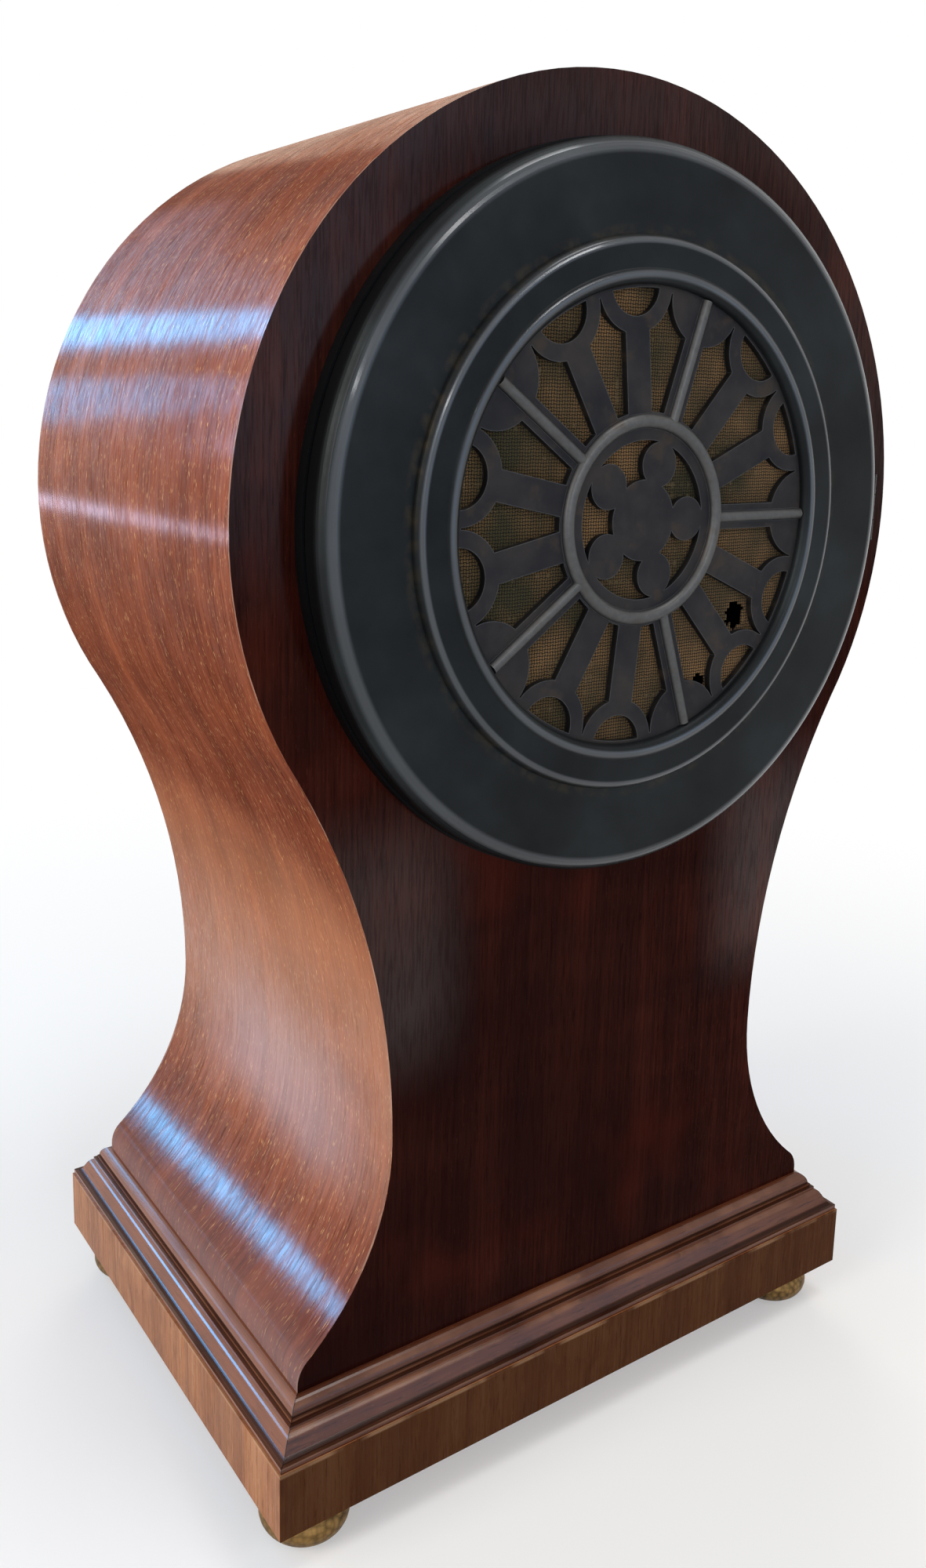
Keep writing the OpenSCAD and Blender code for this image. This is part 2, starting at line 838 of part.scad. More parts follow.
module rear_door_dish() {
    edge_h = lip_rise - lip_r;
    rim_c = [rim_bead_r, door_rise - bead_r];
    hollow_h = lip_rise - spun_t;
    color(bronze) mirror([1, 0, 0]) rear_face() {
        rotate_extrude() polygon(concat(
            [[rear_door_r, door_h]],
            quarter_round(rear_door_r, edge_h, lip_r, lip_r),
            quarter_round(step_r, lip_rise, bead_r, band_h - lip_rise),
            arc(rim_c, bead_r, asin(1 - rim_h / bead_r), 180, 14),
            [[sight_r, fret_top], [recess_r, fret_top], [recess_r, door_back_h]],
            [[recess_r + rim_wall, door_back_h], [recess_r + rim_wall, hollow_h]],
            [[rear_door_r - lip_r, hollow_h], [rear_door_r - edge_wall, edge_h]],
            [[rear_door_r - edge_wall, door_h]]
        ));
        door_hinge(rear_hinge_x, rear_door_r);
    }
}

module fret_openings() {
    difference() {
        for (i = [0:fret_bars - 1]) rotate((i + 0.5) * bar_step) intersection() {
            circle(lancet_end_r);
            wedge(-bar_step / 2, bar_step / 2, 2 * fret_r);
        }
        circle(hub_ring_out);
        for (i = [0:fret_bars - 1]) rotate(i * bar_step) {
            w = i % 3 == 0 ? ribbed_bar_w : plain_bar_w;
            translate([0, -w / 2]) square([2 * fret_r, w]);
            translate([web_ring_r, 0]) circle(web_r);
        }
    }
    intersection() {
        circle(sight_r - eye_rim);
        for (i = [0:fret_bars - 1])
            if (i % 3 != 0) rotate(i * bar_step) translate([web_ring_r, 0]) circle(eye_r);
    }
    difference() {
        circle(hub_ring_in);
        circle(rosette_core_r);
        for (i = [0:4]) rotate(72 * i) translate([lobe_ring_r, 0]) circle(lobe_r);
    }
}

module rear_door_fret() {
    color(bronze) rear_face() rotate(180) {
        translate([0, 0, fret_h]) linear_extrude(fret_t) difference() {
            circle(fret_r);
            fret_openings();
        }
        translate([0, 0, fret_top]) rotate_extrude() translate([hub_bead_r, 0]) circle(hub_bead_t);
        for (i = [0:4]) rotate(72 * i) translate([hub_bead_r, 0, fret_top]) rotate([0, 90, 0])
            cylinder(r = rib_r, h = sight_r - rib_gap - hub_bead_r);
    }
}

module rear_door_cloth() {
    color("#4a3f22") rear_face() translate([0, 0, cloth_h]) cylinder(r = fret_r, h = cloth_t);
}

module cloth_ring() {
    color(brass) rear_face() translate([0, 0, cloth_h - cloth_ring_t])
        ring(fret_r, sight_r - cloth_ring_in, cloth_ring_t);
}

module rear_hinge_pin() {
    mirror([1, 0, 0]) rear_face() hinge_pin(rear_hinge_x);
}

// Front bezel, glass and dial
module front_bezel_door() {
    r = front_door_r;
    edge_h = door_h + bezel_edge_up + bezel_edge_r;
    ledge_h = edge_h + bezel_ledge_h;
    cove_h = door_rise - bezel_cove_drop;
    crest_c = [r - bezel_crest_in, door_rise - bezel_crest_r];
    lip_x = sight_ring_in + glass_lip;
    groove_h = door_h + bezel_groove_h;
    color(brass) front_face() {
        rotate_extrude() polygon(concat(
            [[r, door_h]],
            arc([r - bezel_edge_r, door_h + bezel_edge_up], bezel_edge_r, 0, 90, 8),
            [[r - bezel_ledge, edge_h], [r - bezel_ledge, ledge_h]],
            arc([r - bezel_ledge, cove_h], cove_h - ledge_h, -90, -165, 8),
            arc(crest_c, bezel_crest_r, 20, 180, 12),
            [[lip_x, glass_top_h + glass_lip_h], [lip_x, glass_top_h]],
            [[glass_r + seat_fit, glass_top_h], [glass_r + seat_fit, door_h]],
            [[glass_r + bezel_groove, door_h], [glass_r + bezel_groove, groove_h]],
            [[r - bezel_wall, groove_h], [r - bezel_wall, door_h]]
        ));
        door_hinge(front_hinge_x, front_door_r);
    }
}

module front_glass() {
    color("lightcyan", 0.4) front_face() translate([0, 0, glass_top_h - glass_t])
        cylinder(r = glass_r, h = glass_t);
}

module sight_ring() {
    color(brass) front_face() translate([0, 0, glass_top_h - glass_t - sight_ring_t])
        ring(glass_r, sight_ring_in, sight_ring_t);
}

module front_hinge_pin() {
    front_face() hinge_pin(front_hinge_x);
}

module dial() {
    color("ivory") difference() {
        at(centre_at, dial_back_w) cylinder(r = dial_r, h = dial_t);
        at(centre_at, dial_back_w - 1) cylinder(r = hour_pipe_r + pipe_gap, h = dial_t + 2);
        for (p = [going_at, strike_at]) at(p, dial_back_w - 1)
            cylinder(r = winding_hole_r, h = dial_t + 2);
    }
}

module dial_feet() {
    color(brass) for (a = dial_feet_angles) at(polar(dial_feet_ring_r, a), front_plate_w)
        cylinder(r = dial_foot_r, h = plate_t + under_dial);
}

// Movement frame
module plate_holes(list, r, w0) {
    for (p = list) at(p, w0 - 1) cylinder(r = r + run_fit, h = plate_t + 2);
}

module front_plate() {
    w0 = front_plate_w;
    color(brass) {
        difference() {
            at(centre_at, w0) cylinder(r = plate_r, h = plate_t);
            plate_holes([centre_at], centre_arbor_r, w0);
            plate_holes([going_at, strike_at], barrel_arbor_r, w0);
            plate_holes([third_at, escape_at, anchor_at, second_at, pin_at, fly_at, hammer_at], pivot_r, w0);
            plate_holes([for (a = pillar_angles) polar(pillar_ring_r, a)], strap_screw_r, w0);
            plate_holes([for (a = dial_feet_angles) polar(dial_feet_ring_r, a)], dial_foot_r, w0);
        }
        at(minute_at, w0 + plate_t / 2) cylinder(r = strap_screw_r, h = plate_t / 2 + minute_post_l);
        for (s = [-1, 1]) at(click_at(s), w0 + plate_t / 2)
            cylinder(r = click_pin_r, h = plate_t / 2 + click_pin_l);
    }
}

module back_plate() {
    w0 = -plate_t;
    color(brass) difference() {
        at(centre_at, w0) cylinder(r = plate_r, h = plate_t);
        plate_holes([centre_at, third_at, escape_at, second_at, pin_at, fly_at], pivot_r, w0);
        plate_holes([going_at, strike_at], barrel_pivot_r, w0);
        plate_holes([hammer_at], arbor_r, w0);
        plate_holes([anchor_at], 2 * arbor_r, w0);
    }
}

module pillars() {
    color(brass) for (a = pillar_angles) at(polar(pillar_ring_r, a)) difference() {
        rotate_extrude() polygon([
            [0, 0], [pillar_r, 0], [pillar_r, pillar_collar], [pillar_waist_r, pillar_neck],
            [pillar_waist_r, plate_gap - pillar_neck], [pillar_r, plate_gap - pillar_collar],
            [pillar_r, plate_gap], [0, plate_gap]
        ]);
        translate([0, 0, plate_gap - pillar_bore])
            cylinder(r = strap_screw_r + drive_fit, h = pillar_bore + 1);
    }
}

module movement_screws() {
    color(steel) {
        for (a = pillar_angles) at(polar(pillar_ring_r, a), front_plate_face)
            screw(strap_screw_r, plate_t + pillar_screw_l);
        at(bell_at, bell_mouth_w - bell_depth - bell_nut_h)
            ring(bell_nut_r, bell_post_r + drive_fit, bell_nut_h);
    }
}

// Toothed wheels
function teeth(n, m, add, root, turn) =
    let (r = n * m / 2)
    let (corners = [[-root, -tooth_ded], [-tooth_tip, add], [tooth_tip, add], [root, -tooth_ded]])
    [for (i = [0:n - 1]) for (k = corners)
        polar(r + k[1] * m, turn + (i + k[0] / 2) * 360 / n)];

// A wheel has a tooth on the line of centres, and the pinion that it drives has a gap there
module wheel(n, m, line, t, hub_r = wheel_hub_r) {
    r = n * m / 2 - tooth_ded * m - wheel_rim;
    linear_extrude(t) difference() {
        polygon(teeth(n, m, wheel_add, wheel_root, line));
        difference() {
            circle(r);
            circle(hub_r);
            for (a = [0, 90]) rotate(a) square([2 * r, wheel_spoke], center = true);
        }
    }
}

module pinion(n, m, line, t) {
    linear_extrude(t) polygon(teeth(n, m, pinion_add, pinion_root, line + 180 + 180 / n));
}

module arbor(r, w0 = 0, w1 = plate_gap) {
    translate([0, 0, w0 + end_shake]) cylinder(r = r, h = w1 - w0 - 2 * end_shake);
    translate([0, 0, w0 - plate_t + pivot_short])
        cylinder(r = pivot_r, h = w1 - w0 + 2 * (plate_t - pivot_short));
}

module lift(w) {
    translate([0, 0, w]) children();
}

// Barrels, their springs and winding arbors
module barrel(line, great_w, drum_w) {
    color(brass) difference() {
        union() {
            lift(great_w) linear_extrude(great_t)
                polygon(teeth(great_n, great_m, wheel_add, wheel_root, line));
            lift(drum_w) cylinder(r = drum_r, h = drum_h);
        }
        lift(drum_w + barrel_wall) cylinder(r = drum_r - barrel_wall, h = drum_h - 2 * barrel_wall);
        cylinder(r = barrel_arbor_r + run_fit, h = plate_gap);
    }
}

function spiral(offset) =
    [for (i = [0:24 * spring_turns]) let (t = i / (24 * spring_turns))
        polar(spring_in_r + (spring_out_r - spring_in_r) * t + offset, 15 * i)];

module mainspring(drum_w) {
    h = drum_h - 2 * (barrel_wall + spring_end_gap);
    inner = spiral(0);
    outer = spiral(spring_t);
    color(steel) lift(drum_w + barrel_wall + spring_end_gap) linear_extrude(h)
        polygon(concat(inner, [for (i = [len(outer) - 1:-1:0]) outer[i]]));
}

function ratchet_teeth(flip) =
    [for (i = [0:ratchet_n - 1]) for (k = [[0, ratchet_r], [flip / 4, ratchet_r - ratchet_depth]])
        polar(k[1], (i + k[0]) * 360 / ratchet_n)];

module winding_arbor(flip) {
    top = case_front_w + winding_end_h;
    color(steel) {
        lift(end_shake) cylinder(r = barrel_arbor_r, h = ratchet_w + ratchet_t - end_shake);
        lift(pivot_short - plate_t) cylinder(r = barrel_pivot_r, h = plate_t + pivot_in);
        lift(ratchet_w) linear_extrude(ratchet_t) polygon(ratchet_teeth(flip));
        lift(front_plate_face) linear_extrude(top - front_plate_face) square(winding_square, center = true);
    }
}

function click_turn(s) = s > 0 ? click_angle : 180 - click_angle;
function click_at(s) = (s > 0 ? going_at : strike_at) + polar(click_d, click_turn(s));

module click(s) {
    tip = [click_tip[0] - click_d, s * click_tip[1]];
    color(steel) at(click_at(s), ratchet_w) rotate(click_turn(s))
        linear_extrude(ratchet_t) difference() {
            union() {
                circle(click_boss_r);
                bar([0, 0], tip, click_w);
            }
            circle(click_pin_r + run_fit);
        }
}

module going_barrel() {
    at(going_at) barrel(bearing(going_at, centre_at), going_great_w, going_great_w + great_t);
}

module going_mainspring() {
    at(going_at) mainspring(going_great_w + great_t);
}

module going_winding_arbor() {
    at(going_at) winding_arbor(1);
}

module going_click() {
    click(1);
}

module strike_barrel() {
    at(strike_at) barrel(bearing(strike_at, second_at), strike_great_w, strike_drum_w);
}

module strike_mainspring() {
    at(strike_at) mainspring(strike_drum_w);
}

module strike_winding_arbor() {
    at(strike_at) winding_arbor(-1);
}

module strike_click() {
    click(-1);
}

// Going train
module centre_wheel() {
    color(brass) at(centre_at) {
        lift(end_shake)
            cylinder(r = centre_arbor_r, h = centre_end_w - end_shake);
        lift(pivot_short - plate_t) cylinder(r = pivot_r, h = plate_t + pivot_in);
        lift(going_great_w - pinion_over)
            pinion(centre_pinion_n, great_m, bearing(going_at, centre_at), great_t + 2 * pinion_over);
        lift(centre_wheel_w) wheel(centre_n, centre_m, bearing(centre_at, third_at), centre_wheel_t);
    }
}

module third_wheel() {
    color(brass) at(third_at) {
        arbor(arbor_r);
        lift(centre_wheel_w - pinion_over)
            pinion(third_pinion_n, centre_m, bearing(centre_at, third_at), centre_wheel_t + 2 * pinion_over);
        lift(third_wheel_w) wheel(third_n, third_m, bearing(third_at, escape_at), train_t);
    }
}

module escape_wheel() {
    tooth = [[-0.1, escape_r], [0.1, escape_r], [0.5, escape_r - escape_tooth_h]];
    color(brass) at(escape_at) {
        arbor(fine_arbor_r);
        lift(third_wheel_w - pinion_over)
            pinion(escape_pinion_n, third_m, bearing(third_at, escape_at), train_t + 2 * pinion_over);
        lift(escape_wheel_w) linear_extrude(train_t) difference() {
            polygon([for (i = [0:escape_n - 1]) for (k = tooth)
                polar(k[1], (i + k[0]) * 360 / escape_n)]);
            difference() {
                circle(escape_r - escape_rim);
                circle(escape_hub_r);
                for (a = [0, 90]) rotate(a) square([2 * escape_r, escape_spoke], center = true);
            }
        }
    }
}

// The pallets stand clear of the wheel by more than the swing of the anchor
module anchor() {
    fork_x = rod_r + fork_gap + fork_r;
    pallet = polar(escape_r + pallet_clear, pallet_angle) - [0, anchor_d];
    color(steel) at(anchor_at) {
        arbor(arbor_r, cock_w + cock_t, plate_gap);
        lift(escape_wheel_w - pallet_over) linear_extrude(train_t + 2 * pallet_over) {
            circle(pallet_boss_r);
            for (s = [-1, 1]) bar([0, 0], [s * pallet[0], pallet[1]], pallet_w);
        }
        lift(crutch_w) linear_extrude(crutch_t) {
            circle(crutch_boss_r);
            translate([-crutch_t / 2, -crutch_l]) square([crutch_t, crutch_l]);
            translate([-fork_x - fork_r, -crutch_l - fork_bar / 2])
                square([2 * (fork_x + fork_r), fork_bar]);
        }
        for (s = [-1, 1]) translate([s * fork_x, -crutch_l, pendulum_w - fork_past])
            cylinder(r = fork_r, h = crutch_w - pendulum_w + fork_past + crutch_t / 2);
    }
}

// Motion work and hands
module cannon_pinion() {
    color(brass) at(centre_at, motion_w) difference() {
        union() {
            pinion(cannon_n, motion_m, bearing(minute_at, centre_at), cannon_pinion_t);
            cylinder(r = cannon_r, h = case_front_w + minute_hand_h + hand_t - motion_w);
        }
        lift(-1) cylinder(r = centre_arbor_r + drive_fit, h = 3 * under_dial);
    }
}

module minute_wheel() {
    color(brass) at(minute_at, motion_w) difference() {
        union() {
            wheel(minute_n, motion_m, bearing(minute_at, centre_at), motion_t);
            pinion(minute_pinion_n, hour_m, bearing(centre_at, minute_at),
                hour_wheel_w - motion_w + motion_t + pinion_over);
        }
        lift(-1) cylinder(r = strap_screw_r + run_fit, h = 2 * under_dial);
    }
}

module hour_wheel() {
    color(brass) at(centre_at, hour_wheel_w) difference() {
        union() {
            wheel(hour_n, hour_m, bearing(centre_at, minute_at), motion_t, hour_hub_r);
            cylinder(r = hour_pipe_r, h = case_front_w + hour_hand_h + hand_t - hour_wheel_w);
        }
        lift(-1) cylinder(r = cannon_r + run_fit, h = 3 * under_dial);
    }
}

// A spade hand that points up the drawing
module hand(len, hub_r, bore_r, spade) {
    spade_r = 0.075 * len;
    difference() {
        union() {
            circle(hub_r);
            polygon([
                [-hand_root_half, 0], [hand_root_half, 0], [hand_tip_half, len], [-hand_tip_half, len]
            ]);
            translate([0, spade * len]) circle(spade_r);
            polygon([[-spade_r, spade * len], [spade_r, spade * len], [0, (spade + 0.16) * len]]);
        }
        circle(bore_r);
    }
}

module minute_hand() {
    color("#20242c") at(centre_at, case_front_w + minute_hand_h) rotate(-6 * show_minute)
        linear_extrude(hand_t) hand(minute_hand_l, cannon_r + hand_hub_wall, cannon_r + drive_fit, 0.7);
}

module hour_hand() {
    color("#20242c") at(centre_at, case_front_w + hour_hand_h) rotate(-30 * (show_hour + show_minute / 60))
        linear_extrude(hand_t) hand(hour_hand_l, hour_pipe_r + hand_hub_wall, hour_pipe_r + drive_fit, 0.62);
}

// Pendulum and its cock
module back_cock() {
    color(brass) {
        difference() {
            at(anchor_at, cock_w) translate([-cock_half, -cock_below, 0])
                cube([2 * cock_half, cock_below + cock_above, cock_t]);
            at(anchor_at, cock_w - 1) cylinder(r = pivot_r + run_fit, h = cock_t + 2);
        }
        for (s = [-1, 1]) at(anchor_at, cock_w + cock_t)
            translate([s * (cock_half - cock_foot_w / 2) - cock_foot_w / 2, 0, 0])
                cube([cock_foot_w, cock_above, -plate_t - cock_w - cock_t]);
        difference() {
            at(anchor_at, cock_w - lug_d) translate([-lug_half, lug_up, 0])
                cube([2 * lug_half, cock_above - lug_up, lug_d]);
            at(anchor_at, cock_w - lug_d - 1) translate([-slit_half, 0, 0])
                cube([2 * slit_half, spring_up + slit_over, lug_d + 1]);
        }
    }
}

module suspension_spring() {
    color(steel) at(anchor_at, pendulum_w - spring_strip_w / 2)
        translate([-spring_strip_t / 2, -spring_down, 0])
            cube([spring_strip_t, spring_up + spring_down, spring_strip_w]);
}

module pendulum_rod() {
    top = chop_h - spring_down - chop_lap;
    color(steel) {
        difference() {
            at(anchor_at, pendulum_w - spring_strip_w / 2 - chop_over)
                translate([-chop_half, top - chop_h, 0])
                    cube([2 * chop_half, chop_h, spring_strip_w + 2 * chop_over]);
            at(anchor_at, pendulum_w - spring_strip_w / 2 - 1)
                translate([-spring_strip_t / 2 - drive_fit, -spring_down - drive_fit, 0])
                    cube([spring_strip_t + 2 * drive_fit, chop_h, spring_strip_w + 2]);
        }
        at(anchor_at, pendulum_w) rotate([90, 0, 0]) lift(chop_h - top - 1)
            cylinder(r = rod_r, h = pendulum_l + bob_r + rod_end - chop_h + top + 1);
    }
}

module pendulum_bob() {
    swell = bob_half - bob_rim_half;
    cap_r = (pow(bob_r, 2) + pow(swell, 2)) / (2 * swell);
    cap_angle = asin(bob_r / cap_r);
    color(brass) at(anchor_at - [0, pendulum_l], pendulum_w) difference() {
        rotate_extrude() polygon(concat(
            arc([0, cap_r - bob_half], cap_r, -90, cap_angle - 90, 12),
            arc([0, bob_half - cap_r], cap_r, 90 - cap_angle, 90, 12)
        ));
        rotate([90, 0, 0]) cylinder(r = rod_r + run_fit, h = 3 * bob_r, center = true);
    }
}

module rating_nut() {
    color(brass) at(anchor_at - [0, pendulum_l + bob_r + nut_gap], pendulum_w) rotate([90, 0, 0])
        ring(nut_r, rod_r + drive_fit, nut_h);
}

// Strike train, bell and hammer
module strike_second_wheel() {
    color(brass) at(second_at) {
        arbor(arbor_r);
        lift(strike_great_w - pinion_over)
            pinion(second_pinion_n, great_m, bearing(strike_at, second_at), great_t + 2 * pinion_over);
        lift(second_wheel_w) wheel(second_n, second_m, bearing(second_at, pin_at), centre_wheel_t);
    }
}

module pin_wheel() {
    color(brass) at(pin_at) {
        arbor(fine_arbor_r);
        lift(end_shake) pinion(pin_pinion_n, second_m, bearing(second_at, pin_at), pin_pinion_t);
        lift(pin_wheel_w) wheel(pin_n, pin_m, bearing(pin_at, fly_at), train_t, pin_hub_r);
        for (i = [0:lift_pins - 1]) rotate(i * 360 / lift_pins)
            translate([lift_pin_ring_r, 0, pin_wheel_w + train_t / 2])
                cylinder(r = lift_pin_r, h = lift_pin_l);
    }
}

module fly() {
    color(brass) at(fly_at) {
        arbor(fine_arbor_r);
        lift(pin_wheel_w - pinion_over)
            pinion(fly_pinion_n, pin_m, bearing(pin_at, fly_at), train_t + 2 * pinion_over);
        lift(fly_w) translate([-fly_half, -fly_t / 2, 0]) cube([2 * fly_half, fly_t, fly_l]);
        lift(fly_w) cylinder(r = fly_pipe_r, h = fly_l);
    }
}

module hammer() {
    arm_w = hammer_w - hammer_arm / 2;
    head = hammer_at_bell - hammer_at;
    color(steel) {
        at(hammer_at) {
            lift(arm_w) cylinder(r = arbor_r, h = plate_gap - end_shake - arm_w);
            cylinder(r = pivot_r, h = plate_gap + plate_t - pivot_short);
            lift(pin_wheel_w + hammer_tail_up) linear_extrude(hammer_tail_t) {
                circle(hammer_boss_r);
                bar([0, 0], polar(hammer_tail_l, bearing(hammer_at, pin_at)), hammer_tail_w);
            }
            lift(arm_w) linear_extrude(hammer_arm) {
                circle(hammer_boss_r);
                bar([0, 0], head, hammer_arm);
            }
        }
        at(hammer_at_bell, hammer_w - hammer_head_l / 2) cylinder(r = hammer_head_r, h = hammer_head_l);
    }
}

module bell_stand() {
    crown_w = bell_mouth_w - bell_crown;
    color(brass) at(bell_at) {
        lift(-plate_t - bell_foot_h) cylinder(r = bell_foot_r, h = bell_foot_h);
        lift(crown_w) cylinder(r = bell_pillar_r, h = -plate_t - crown_w);
        lift(bell_mouth_w - bell_depth - bell_post_past) cylinder(r = bell_post_r, h = bell_depth);
    }
}

module bell() {
    angles = [for (i = [0:bell_steps]) 90 * i / bell_steps];
    skin = [for (a = angles) [bell_r * cos(a), -bell_depth * sin(a)]];
    hollow = [for (a = angles) [(bell_r - bell_t) * cos(a), -(bell_depth - bell_t) * sin(a)]];
    color(brass) at(bell_at, bell_mouth_w) difference() {
        rotate_extrude() polygon(concat(
            skin,
            [[0, -bell_crown]],
            [for (i = [bell_steps - 1:-1:0]) hollow[i]]
        ));
        lift(-bell_depth - 1) cylinder(r = bell_post_r + drive_fit, h = bell_depth);
    }
}

case_hood();
case_side_left();
case_side_right();
case_front_board();
case_back_board();
front_stringing();
plinth_block();
plinth_moulding();
foot_front_left();
foot_front_right();
foot_back_left();
foot_back_right();
rear_bezel_ring();
front_bezel_ring();
bezel_screws();
movement_straps();
strap_screws();
dial();
dial_feet();
front_plate();
back_plate();
pillars();
movement_screws();
back_cock();
bell_stand();
bell();
rear_door_dish();
rear_door_fret();
rear_door_cloth();
cloth_ring();
rear_hinge_pin();
front_bezel_door();
front_glass();
sight_ring();
front_hinge_pin();
going_barrel();
going_mainspring();
going_winding_arbor();
going_click();
centre_wheel();
cannon_pinion();
minute_hand();
minute_wheel();
hour_wheel();
hour_hand();
third_wheel();
escape_wheel();
anchor();
suspension_spring();
pendulum_rod();
pendulum_bob();
rating_nut();
strike_barrel();
strike_mainspring();
strike_winding_arbor();
strike_click();
strike_second_wheel();
pin_wheel();
fly();
hammer();
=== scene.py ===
# %% [markdown]
# # A balloon clock, seen from behind
# The clock is a waisted mahogany case on a moulded plinth. Its construction comes in as a fixed frame: every
# board, wheel and screw is already a mesh, in metres, with its place in the mesh. This lesson gives each of
# them a finish, adds the pieces that only matter to the eye, and sets up a camera and a small studio.

# %% Load the frame
import math

import bmesh
import bpy
from mathutils import Matrix, Vector, noise


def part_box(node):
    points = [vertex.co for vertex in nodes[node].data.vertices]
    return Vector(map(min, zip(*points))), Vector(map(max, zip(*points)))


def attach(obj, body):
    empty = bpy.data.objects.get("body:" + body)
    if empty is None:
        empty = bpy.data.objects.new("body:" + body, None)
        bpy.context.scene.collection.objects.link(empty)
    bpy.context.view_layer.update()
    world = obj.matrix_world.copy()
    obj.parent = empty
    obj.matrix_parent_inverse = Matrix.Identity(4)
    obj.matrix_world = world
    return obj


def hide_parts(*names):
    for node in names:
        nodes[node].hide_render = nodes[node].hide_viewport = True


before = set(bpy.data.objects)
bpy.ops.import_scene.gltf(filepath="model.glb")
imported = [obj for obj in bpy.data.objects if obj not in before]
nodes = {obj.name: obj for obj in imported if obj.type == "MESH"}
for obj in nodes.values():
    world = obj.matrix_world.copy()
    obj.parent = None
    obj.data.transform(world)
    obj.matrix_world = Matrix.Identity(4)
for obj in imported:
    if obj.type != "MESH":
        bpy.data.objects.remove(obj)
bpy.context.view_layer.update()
# Meshes are in metres. The patterns count in millimetres, so HEAD_R and FACE do too.
MM = 0.001
HEAD_R = 90.0
HEAD_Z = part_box("case_hood")[1].z - HEAD_R * MM
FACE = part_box("case_back_board")[1].y / MM
print("nodes:", len(nodes), "head centre", round(HEAD_Z, 4), "m, back face", round(FACE, 1), "mm")

# %% [markdown]
# ## The camera
# A camera fitted to the picture comes first, because it decides what has to be right. It stands behind the
# clock, a little above its middle and towards the clock's own left. A shift, and not a turn, puts the clock
# in the frame, so the upright edges lean exactly as they do in the picture.

# %% Camera
# The picture is measured in pixels, the sensor in millimetres and the camera's place in metres.
IMAGE_H = 2000
IMAGE_MIDDLE = (590.5, 1000)
PRINCIPAL = (557.1, 829.5)
FOCAL_PX = 1690.8
SENSOR_H = 36
YAW, PITCH, ROLL = (math.radians(a) for a in (34.038, 10.931, 1.170))
CAMERA_X, CAMERA_Y, CAMERA_OVER_HEAD = 0.1908, 0.2706, 0.0251

camera_data = bpy.data.cameras.new("camera")
camera_data.sensor_fit = "VERTICAL"
camera_data.sensor_height = SENSOR_H
camera_data.lens = FOCAL_PX * SENSOR_H / IMAGE_H
camera_data.shift_x = (IMAGE_MIDDLE[0] - PRINCIPAL[0]) / IMAGE_H
camera_data.shift_y = (PRINCIPAL[1] - IMAGE_MIDDLE[1]) / IMAGE_H
camera_data.clip_start = 0.01
camera = bpy.data.objects.new("camera", camera_data)
bpy.context.scene.collection.objects.link(camera)
forward = Vector((-math.sin(YAW) * math.cos(PITCH), -math.cos(YAW) * math.cos(PITCH), -math.sin(PITCH)))
level = forward.cross(Vector((0, 0, 1))).normalized()
upright = level.cross(forward)
right = math.cos(ROLL) * level + math.sin(ROLL) * upright
up = math.cos(ROLL) * upright - math.sin(ROLL) * level
turn = Matrix((right, up, -forward)).transposed().to_4x4()
camera.matrix_world = Matrix.Translation((CAMERA_X, CAMERA_Y, HEAD_Z + CAMERA_OVER_HEAD)) @ turn
bpy.context.scene.camera = camera
print("lens", round(camera_data.lens, 2), "mm")

# %% [markdown]
# ## Writing shaders as sums
# A finish is a graph of nodes. To keep the graph readable, `Sock` wraps one output socket and lets plain
# arithmetic add the Math nodes. `Finish` owns one material: its `node` method makes any other node from a
# type, its settings and its inputs. All patterns are worked out in millimetres from Object coordinates, so
# they stay on the wood.

# %% Socket arithmetic
class Sock:
    def __init__(self, finish, socket):
        self.finish = finish
        self.socket = socket

    def maths(self, operation, *values):
        return self.finish.node("ShaderNodeMath", {"operation": operation}, dict(enumerate(values)))

    def __add__(self, other):
        return self.maths("ADD", self, other)

    def __radd__(self, other):
        return self.maths("ADD", other, self)

    def __sub__(self, other):
        return self.maths("SUBTRACT", self, other)

    def __rsub__(self, other):
        return self.maths("SUBTRACT", other, self)

    def __mul__(self, other):
        return self.maths("MULTIPLY", self, other)

    def __rmul__(self, other):
        return self.maths("MULTIPLY", other, self)

    def __gt__(self, other):
        return self.maths("GREATER_THAN", self, other)

    def __lt__(self, other):
        return self.maths("LESS_THAN", self, other)

    def __abs__(self):
        return self.maths("ABSOLUTE", self)

    def root(self):
        return self.maths("SQRT", self)

    def wave(self):
        return self.maths("SINE", self)

    def sign(self):
        return self.maths("SIGN", self)

    def radius(self, up):
        """The distance of a point that lies self to the right and up upwards."""
        return (self * self + up * up).root()

    def angle(self, up):
        """The angle of the same point, counted from straight up."""
        return self.maths("ARCTAN2", self, up)

    def ramp(self, low, high):
        """0 below low, 1 above high, smooth between."""
        inputs = {"Value": self, "From Min": low, "From Max": high}
        return self.finish.node("ShaderNodeMapRange", {"interpolation_type": "SMOOTHSTEP"}, inputs)

    def band(self, middle, half, soft):
        """1 within half of middle, falling to 0 over soft."""
        return 1 - abs(self - middle).ramp(half, half + soft)

    def bands(self, rows):
        """Several bands added up, each row a middle, a half and a soft edge."""
        return sum(self.band(*row) for row in rows)


# A Mix node has sockets for every kind of data. These are the numbers of the ones for colours.
MIX_SHARE, MIX_FIRST, MIX_SECOND, MIX_RESULT = 0, 6, 7, 2
# How far a rounded normal has to leave the true one, as 1 less the cosine, to start and to fill a corner.
CORNER_TURN = (0.02, 0.22)


